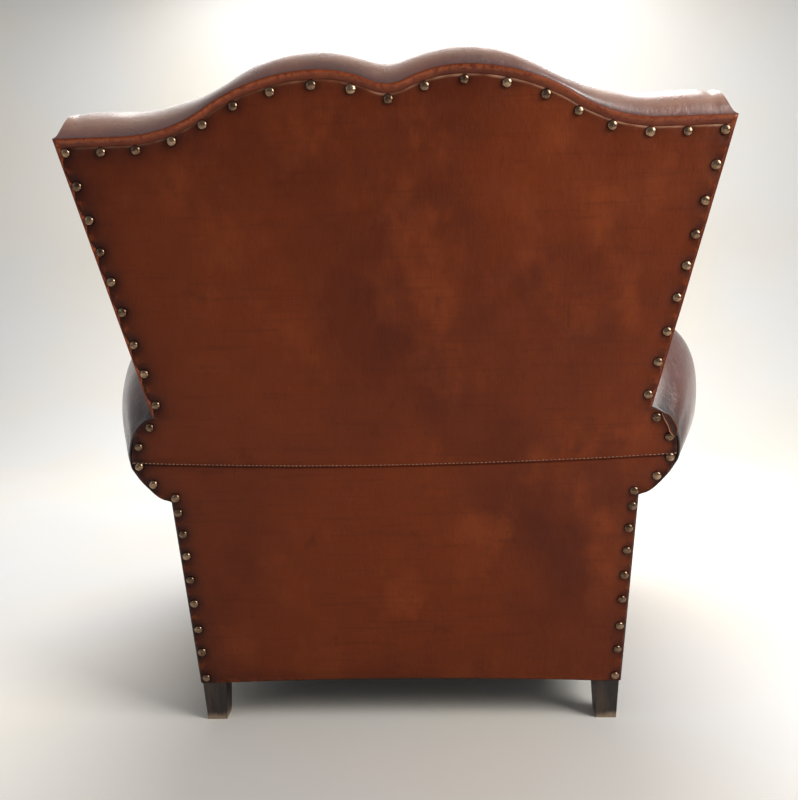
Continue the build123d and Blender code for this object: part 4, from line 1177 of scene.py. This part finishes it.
@dataclass
class NailHeads:
    """Domed nail heads, each a little out of line with the next."""

    radius: float = 0.0060
    height: float = 0.0036
    tilt: float = 0.07
    unlike: float = 0.03
    dent: float = 0.05
    turns: int = 22
    rings: int = 8

    def heads(self, name: str, places: Array, out: Array, seed: int) -> Piece:
        """Domes of revolution at the places: a flattened dome with a thin rolled rim.

        Args:
            name: name of the piece.
            places: middles of the nails.
            out: direction that the heads face.
            seed: number that settles their small differences.

        Returns:
            One piece that holds all the heads.
        """
        source = np.random.default_rng(seed)
        count = len(places)
        ring = np.linspace(0, 1, self.rings)[1:-1] * pi / 2
        size = np.concatenate([[0.90, 1.0], np.cos(ring) ** 0.92, [0.02]])
        lift = np.concatenate([[-0.25, -0.02], np.sin(ring), [1.0]])[None, :, None]
        turn = np.linspace(0, 2 * pi, self.turns + 1)[:-1]
        out = out / np.linalg.norm(out)
        side = np.cross(out, [0, 0, 1.0])
        side /= np.linalg.norm(side)
        up = np.cross(side, out)
        tilt = source.normal(0, self.tilt, (count, 2))
        scale = 1 + source.normal(0, self.unlike, count)
        dent = self.dent * np.sin(2 * turn[None, None, :] + source.random((count, 1, 1)) * 6)
        rim = size[None, :, None] * self.radius * scale[:, None, None] * (1 + dent * lift * 0.5)
        a, b = rim * np.cos(turn), rim * np.sin(turn)
        c = lift * self.height * (1 + dent * 0.6) + 0 * a
        c = c + tilt[:, 0, None, None] * a + tilt[:, 1, None, None] * b
        base = places - out * self.height / 2
        points = base[:, None, None, :] + a[..., None] * side + b[..., None] * up + c[..., None] * out
        faces = copies(quads(len(size), self.turns, True, Way.KEEP), len(size) * self.turns, count)
        return mesh_piece(name, points.reshape(-1, 3), faces, {"dome": np.broadcast_to(lift, a.shape)})

    def build(self, finishes: Finishes, form: BackForm) -> None:
        """Make the nails of the back and of both facings."""
        rear = np.array([0, cos(form.lean), -sin(form.lean)])
        front = np.array([0, -1.0, 0])
        rows = (("back_nails", rear, 5), ("facing_nails_left", front, 6), ("facing_nails_right", front, 7))
        for node, out, seed in rows:
            places = nail_places(node)
            places = form.draw_in(places) if node == "back_nails" else places
            piece = self.heads(node.replace("nails", "nail_heads"), places, out, seed)
            dress(piece, finishes.brass, "aged_brass", CHAIR, node)


@dataclass
class SeatFront:
    """Leather border under the cushion and the deck behind it."""

    form: ArmForm
    return_out: float = 0.0035
    border_swell: float = 0.004
    border_relief: float = 0.0012
    deck_round: float = 0.024
    deck_gap: float = 0.001
    deck_thickness: float = 0.0018

    def border(self) -> Piece:
        """Front border: a panel with a soft swell, whose ends turn forwards to the arm facings."""
        low, high = (np.array(corner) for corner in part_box("seat_border"))
        across = np.linspace(0, 1, 161)[None, :]
        up = np.linspace(0, 1, 61)[:, None]
        turned = smooth(0.0, 0.012, np.minimum(across, 1 - across))
        x = blend(low[0], high[0], across) + (2 * across - 1) * self.return_out * (1 - turned)
        points = spread(x, blend(self.form.front, low[1], turned), blend(low[2], high[2], up))
        edge = np.minimum(np.minimum(across, 1 - across) * 0.5, np.minimum(up, 1 - up) * 0.18)
        relief = self.border_relief * waves(points, 0.12, 71, 6) * smooth(0, 0.03, edge)
        points[..., 1] -= self.border_swell * smooth(0, 0.05, edge) + relief
        # Painted shade along the border's edges.
        values = {"painted_shade": 0.8 * np.exp(-edge / 0.02), "worn": 0.2 * smooth(0.02, 0.06, edge)}
        return grid_piece("seat_border_leather", points, values, thickness=LEATHER_THICKNESS)

    def deck(self) -> Piece:
        """Deck: flat top with a rolled front edge, between the arms."""
        low, high = (np.array(corner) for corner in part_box("seat_deck"))
        radius = self.deck_round
        fall = np.linspace(0, 1, 12)
        turn = np.linspace(0, pi / 2, 16)[1:]
        run = np.linspace(0, 1, 90)[1:]
        y = np.concatenate([
            low[1] + 0 * fall,
            low[1] + radius * (1 - np.cos(turn)),
            low[1] + radius + (high[1] - low[1] - radius) * run,
        ])[:, None]
        z = np.concatenate([
            low[2] + (high[2] - radius - low[2]) * fall,
            high[2] - radius + radius * np.sin(turn),
            high[2] + 0 * run,
        ])[:, None]
        share = (y - self.form.front) / (self.form.rear - self.form.front)
        across = np.linspace(-1, 1, 81)[None, :]
        points = spread((self.form.inner(share) - self.deck_gap) * across, y, z)
        # Painted shade at the sides, next to the arms.
        values = {"painted_shade": 0.5 * np.abs(across) ** 6}
        return grid_piece("seat_deck_leather", points, values, thickness=self.deck_thickness)

    def build(self, finishes: Finishes) -> None:
        """Make the border and the deck."""
        dress(self.border(), finishes.arms, "leather", CHAIR, "seat_border")
        dress(self.deck(), finishes.arms, "leather", CHAIR, "seat_deck")


@dataclass
class Cushion:
    """Loose seat cushion with a crown, drawn-in sides and two welts."""

    corner: float = 0.042
    rear_loss: float = 0.010
    welt: float = 0.0040
    welt_out: float = 0.001
    low_welt_rise: float = 0.006
    crown: float = 0.024
    draw: float = 0.008
    creases: float = 0.0014
    relief: float = 0.0012
    hollow: float = 0.005
    steps: int = 360
    welt_steps: int = 420
    voxel: float = 0.005
    pressure: float = 4.0
    frames: int = 20
    most_swell: float = 0.005
    seat_gap: float = 0.0004

    def bounds(self) -> tuple[Array, Array]:
        """Corners of the cushion's box, let down until its underside rests on the deck."""
        low, high = (np.array(corner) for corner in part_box("seat_cushion"))
        low[2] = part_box("seat_deck")[1][2] + self.seat_gap
        return low, high

    def levels(self) -> tuple[float, float]:
        """Heights of the lower and the upper welt."""
        low, high = self.bounds()
        return low[2] + self.low_welt_rise, high[2] - self.crown

    def distances(self, points: Array) -> tuple[Array, Array]:
        """How far points are from the nearer welt's height, and inwards from the cushion's sides."""
        low, high = self.bounds()
        low_welt, high_welt = self.levels()
        rim = np.minimum(np.abs(points[..., 2] - low_welt), np.abs(points[..., 2] - high_welt))
        in_x = high[0] - np.abs(points[..., 0])
        in_y = (high[1] - low[1]) / 2 - np.abs(points[..., 1] - (low[1] + high[1]) / 2)
        return rim, np.clip(np.minimum(in_x, in_y), 0, None)

    def finish_values(self, points: Array) -> Values:
        """Painted shade and wear of the case at points: painted shade at the welts and on the boxed sides,
        worn over the crown.
        """
        low_welt, high_welt = self.levels()
        rim, inner = self.distances(points)
        side = (points[..., 2] > low_welt) & (points[..., 2] < high_welt)
        # Painted shade at the welts, and a little over the whole boxed sides.
        painted_shade = 0.8 * np.exp(-rim / 0.006) * np.exp(-inner / 0.012) + 0.25 * side
        return {"painted_shade": painted_shade, "worn": 0.55 * smooth(0.03, 0.12, inner) * (points[..., 2] > high_welt)}

    def loop(self, out: float, count: int) -> Array:
        """Rounded outline with even steps: straight sides joined by quarter circles.

        Args:
            out: how far the outline stands out from the cushion's box.
            count: number of points.

        Returns:
            Points of the outline, one row of x and y each.
        """
        low, high = self.bounds()
        front, rear = low[1] - out, high[1] + out
        half_front, half_rear = high[0] + out, high[0] + out - self.rear_loss
        turn = np.linspace(0, 2 * pi, count + 1)[:-1] + pi / 4
        square_x = np.clip(np.cos(turn) * 2**0.5, -1, 1)
        square_y = np.clip(np.sin(turn) * 2**0.5, -1, 1)
        half = blend(half_front, half_rear, (square_y + 1) / 2)
        x = square_x * half
        y = (front + rear) / 2 + square_y * ((rear - front) / 2)
        inner_x = np.clip(x, -(half - self.corner), half - self.corner)
        inner_y = np.clip(y, front + self.corner, rear - self.corner)
        off = np.stack([x - inner_x, y - inner_y], axis=-1)
        size = np.linalg.norm(off, axis=-1)
        in_corner = (np.abs(x - inner_x) > 1e-9) & (np.abs(y - inner_y) > 1e-9)
        scale = np.where(in_corner, self.corner / np.maximum(size, 1e-9), 1)
        return np.stack([inner_x + off[:, 0] * scale, inner_y + off[:, 1] * scale], axis=-1)

    def case(self) -> Piece:
        """The stuffed case: rings from the middle below, out to the sides and in over the crown.

        A ring's share is 1 at the middle and 0 at the outline; on the sides it is negative, and the
        sides draw in between the welts by a parabola. Shallow waves crease the top near its edge.
        """
        low, high = self.bounds()
        low_welt, high_welt = self.levels()
        rings: list[tuple[float, float]] = []
        for share in np.linspace(1, 0, 40)[:-1]:
            rings.append((share, low_welt - (low_welt - low[2]) * (1 - (1 - share) ** 2.4)))
        for up in np.linspace(0, 1, 34):
            rings.append((-up, low_welt + (high_welt - low_welt) * up))
        for share in np.linspace(0, 1, 56)[1:]:
            rings.append((share, high_welt + self.crown * (1 - (1 - share) ** 2.2) ** 0.85))
        middle = np.array([0, (low[1] + high[1]) / 2])
        inward = self.loop(0.0, self.steps) - middle
        length = np.linalg.norm(inward, axis=1)
        grid = []
        for share, z in rings:
            size = np.full(self.steps, 1 - share * 0.995)
            if share <= 0:
                size = 1 - self.draw * 4 * -share * (1 + share) / length
            xy = middle + inward * size[:, None]
            grid.append(np.concatenate([xy, np.full((self.steps, 1), z)], axis=1))
        points = np.array(grid)
        away = np.array([share for share, _ in rings])
        top = np.array([z > high_welt - 1e-6 for _, z in rings])
        creases = waves(points, 0.09, 81, 7) + 0.6 * waves(points, 0.035, 83, 7)
        near = bell(np.clip(away, 0, 1), 0.16, 0.14)
        relief = self.relief * waves(points, 0.2, 85) * top[:, None]
        points[..., 2] += (self.creases * creases * (top * near)[:, None]) + relief
        hollow = np.exp(-(((points[..., 0]) / 0.15) ** 2 + ((points[..., 1] + 0.1) / 0.17) ** 2))
        points[..., 2] -= self.hollow * hollow * top[:, None]
        pushed = self.relief * waves(points, 0.06, 87, 6) * (away <= 0)[:, None]
        points[..., :2] += pushed[..., None] * (inward / length[:, None])[None]
        return grid_piece("cushion_leather_case", points, self.finish_values(points), wrap=True)

    def swell(self, case: Piece) -> None:
        """Let the case swell as cloth under the pressure of its filling, held at its welts.

        The case is remeshed evenly and runs as cloth for a few frames. Its points near the two welts
        and on its flat underside are pinned, and no point moves further than the cap.
        """
        case.modifiers.new("even", "REMESH").voxel_size = self.voxel
        even = bpy.data.meshes.new_from_object(case.evaluated_get(bpy.context.evaluated_depsgraph_get()))
        case.modifiers.clear()
        case.data = even
        start = np.empty(len(even.vertices) * 3, dtype=np.float32)
        even.vertices.foreach_get("co", start)
        moved = start.copy()
        start = start.reshape(-1, 3)
        rim, inner = self.distances(start)
        at_welt = (rim < 1.3 * self.voxel) & (inner < 5 * self.voxel)
        held = at_welt | (start[:, 2] < self.levels()[0])
        case.vertex_groups.new(name="welts").add(np.flatnonzero(held).tolist(), 1.0, "REPLACE")
        cloth = case.modifiers.new("cloth", "CLOTH")
        cloth.settings.vertex_group_mass = "welts"
        cloth.settings.use_pressure = True
        cloth.settings.uniform_pressure_force = self.pressure
        cloth.settings.effector_weights.gravity = 0.0
        cloth.point_cache.frame_start, cloth.point_cache.frame_end = 1, self.frames
        for frame_number in range(1, self.frames + 1):
            bpy.context.scene.frame_set(frame_number)
        blown = case.evaluated_get(bpy.context.evaluated_depsgraph_get()).data
        blown.vertices.foreach_get("co", moved)
        push = moved.reshape(-1, 3) - start
        size = np.linalg.norm(push, axis=1, keepdims=True)
        push *= np.minimum(1, self.most_swell / np.maximum(size, 1e-9))
        case.modifiers.clear()
        case.vertex_groups.clear()
        bpy.context.scene.frame_set(1)
        even.vertices.foreach_set("co", (start + push).reshape(-1).astype(np.float32))
        for name, numbers in self.finish_values(start + push).items():
            layer = even.attributes.get(name) or even.attributes.new(name, "FLOAT", "POINT")
            layer.data.foreach_set("value", numbers.astype(np.float32))
        even.shade_smooth()
        even.update()
        LOG.info("case swelled by up to %.1f mm", float(size.max()) * 1000)

    def welts(self) -> Piece:
        """Welts: a round leather cord along each edge of the boxing."""
        outline = self.loop(self.welt_out, self.welt_steps)
        step = np.roll(outline, -1, axis=0) - np.roll(outline, 1, axis=0)
        step /= np.linalg.norm(step, axis=1)[:, None]
        out = np.stack([step[:, 1], -step[:, 0]], axis=-1)
        turn = np.linspace(0, 2 * pi, 13)[:-1]
        ring = outline[:, None, :] + out[:, None, :] * (self.welt * np.cos(turn))[None, :, None]
        cords = [spread(ring[..., 0], ring[..., 1], z + self.welt * np.sin(turn)) for z in self.levels()]
        each = len(outline) * len(turn)
        faces = quads(len(outline) + 1, len(turn), True, Way.KEEP) % each
        points = np.array(cords).reshape(-1, 3)
        # Painted shade, the same over the whole cords.
        values = {"painted_shade": np.full(len(points), 0.35), "worn": np.full(len(points), 0.3)}
        return mesh_piece("cushion_welt_cords", points, copies(faces, each, len(cords)), values)

    def build(self, finishes: Finishes) -> None:
        """Make the case and its welts."""
        case = self.case()
        self.swell(case)
        dress(case, finishes.seat, "cushion_leather", CUSHION, "seat_cushion")
        dress(self.welts(), finishes.seat, "cushion_leather", CUSHION, "cushion_welts")


def dress_nodes(finishes: Finishes) -> None:
    """Give every CAD node that stays its finish, by its material slot."""
    by_slot = {
        "stained_wood": finishes.feet,
        "beech": finishes.beech,
        "stuffing": finishes.stuffing,
        "hessian": finishes.hessian,
        "webbing": finishes.webbing,
        "black_cloth": finishes.black,
        "spring_wire": finishes.steel,
        "aged_brass": finishes.brass,
        "cushion_leather": finishes.seat,
        "back_leather": finishes.back,
        "leather": finishes.arms,
    }
    slots = {part["node"]: part["material_slot"] for part in frame["record"]["subparts"]}
    for name, node in frame["nodes"].items():
        material = finishes.rails if name.startswith("seat_rail") else by_slot[slots[name]]
        if not node.material_slots:
            node.data.materials.append(material)
        for slot in node.material_slots:
            slot.material = material
    LOG.info("dressed %d nodes", len(frame["nodes"]))


def stand(thing: Piece, right: Array, up: Array, away: Array, place: Sequence[float]) -> None:
    """Put a camera or a lamp into the scene.

    Args:
        thing: the camera or lamp.
        right: direction of its own X.
        up: direction of its own Y.
        away: direction of its own Z, opposite to where it looks.
        place: where it stands.
    """
    bpy.context.scene.collection.objects.link(thing)
    matrix = np.eye(4)
    matrix[:3, 0], matrix[:3, 1], matrix[:3, 2], matrix[:3, 3] = right, up, away, place
    thing.matrix_world = Matrix(matrix.tolist())


@dataclass(frozen=True)
class Lamp:
    """One square soft lamp that faces a point."""

    name: str
    place: Triple
    target: Triple
    size: float
    power: float
    colour: Triple

    def build(self) -> None:
        """Hang the lamp."""
        data = bpy.data.lights.new(self.name, "AREA")
        data.shape = "SQUARE"
        data.size = self.size
        data.energy = self.power
        data.color = self.colour
        away = np.array(self.place, dtype=float) - np.array(self.target, dtype=float)
        away /= np.linalg.norm(away)
        right = np.cross([0, 0, 1.0], away)
        right /= np.linalg.norm(right)
        stand(bpy.data.objects.new(self.name, data), right, np.cross(away, right), away, self.place)


@dataclass
class Studio:
    """Pale floor and backdrop, soft lamps, and the camera at the photograph's place."""

    camera_place: Triple = (-0.0463, 1.3868, 0.5869)
    yaw: float = radians(2.575)
    pitch: float = radians(6.28)
    roll: float = radians(-1.541)
    lens: float = 36.0
    shade: float = 0.84
    floor_near: float = 4.0
    floor_far: float = -1.6
    wall_curve: float = 0.9
    wall_top: float = 5.0
    half_width: float = 5.0
    sky: Colour = (0.82, 0.86, 0.92, 1)
    sky_strength: float = 0.28
    lamps: tuple[Lamp, ...] = (
        Lamp("window_lamp", (-1.9, 1.4, 1.7), (0, 0.2, 0.5), 1.2, 54, (1.0, 0.97, 0.93)),
        Lamp("fill_lamp", (2.8, 2.0, 1.4), (0, 0.2, 0.5), 2.0, 6, (0.97, 0.98, 1.0)),
        Lamp("ceiling_lamp", (0.0, -1.3, 2.7), (0, -0.4, 0.6), 2.2, 90, (1.0, 0.99, 0.98)),
    )

    def camera(self) -> None:
        """Camera: it looks to the chair's rear, turned by yaw, pitch and roll."""
        data = bpy.data.cameras.new("camera")
        data.lens = self.lens
        data.sensor_width = 36.0
        data.sensor_fit = "AUTO"
        camera = bpy.data.objects.new("camera", data)
        level = np.array([sin(self.yaw), -cos(self.yaw), 0]) * cos(self.pitch)
        forward = level - np.array([0, 0, sin(self.pitch)])
        right = np.cross(forward, [0, 0, 1.0])
        right /= np.linalg.norm(right)
        up = np.cross(right, forward)
        turned = cos(self.roll) * right + sin(self.roll) * up
        lifted = -sin(self.roll) * right + cos(self.roll) * up
        stand(camera, turned, lifted, -forward, self.camera_place)
        bpy.context.scene.camera = camera

    def sweep(self) -> None:
        """Floor and backdrop in one sweep: a level floor that curves up into an upright wall."""
        turn = np.linspace(0, pi / 2, 24)[1:]
        wall_y = self.floor_far - self.wall_curve
        run = np.concatenate([
            np.linspace(self.floor_near, self.floor_far, 40),
            self.floor_far - self.wall_curve * np.sin(turn),
            np.full(12, wall_y),
        ])
        rise = np.concatenate([
            np.zeros(40),
            self.wall_curve - self.wall_curve * np.cos(turn),
            np.linspace(self.wall_curve + 0.1, self.wall_top, 12),
        ])
        x = np.linspace(-self.half_width, self.half_width, 30)[:, None]
        piece = grid_piece("studio_sweep", spread(x, run[None, :], rise[None, :]))
        n = Nodes("studio_paint")
        warm = (self.shade, self.shade * 0.95, self.shade * 0.86, 1)
        cool = (self.shade * 0.98, self.shade * 0.975, self.shade * 0.96, 1)
        tone = n.span(n.noise(1.3, 2, 0.5), 0.3, 0.7)
        piece.data.materials.append(n.finish(Base_Color=n.mix(tone, warm, cool), Roughness=0.9))

    def build(self) -> None:
        """Set the camera, the floor, the lamps and the world."""
        self.camera()
        self.sweep()
        for lamp in self.lamps:
            lamp.build()
        world = bpy.data.worlds.new("studio_world")
        world.use_nodes = True
        world.node_tree.nodes["Background"].inputs["Color"].default_value = self.sky
        world.node_tree.nodes["Background"].inputs["Strength"].default_value = self.sky_strength
        bpy.context.scene.world = world
        bpy.context.scene.view_settings.view_transform = "Standard"


def write_sizes() -> None:
    """Update the view layer so that every piece stands in place."""
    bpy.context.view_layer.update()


def main() -> None:
    """Build the pieces in order and report each one."""
    logging.basicConfig(level=logging.INFO)
    Studio().build()
    finishes = Finishes()
    dress_nodes(finishes)
    back = BackForm()
    arm = ArmForm(back)
    OutsideBack(back).build(finishes)
    InsideBack(back, arm).build(finishes)
    Arms(arm).build(finishes)
    NailHeads().build(finishes, back)
    SeatFront(arm).build(finishes)
    Cushion().build(finishes)
    write_sizes()


if __name__ == "__main__":
    main()
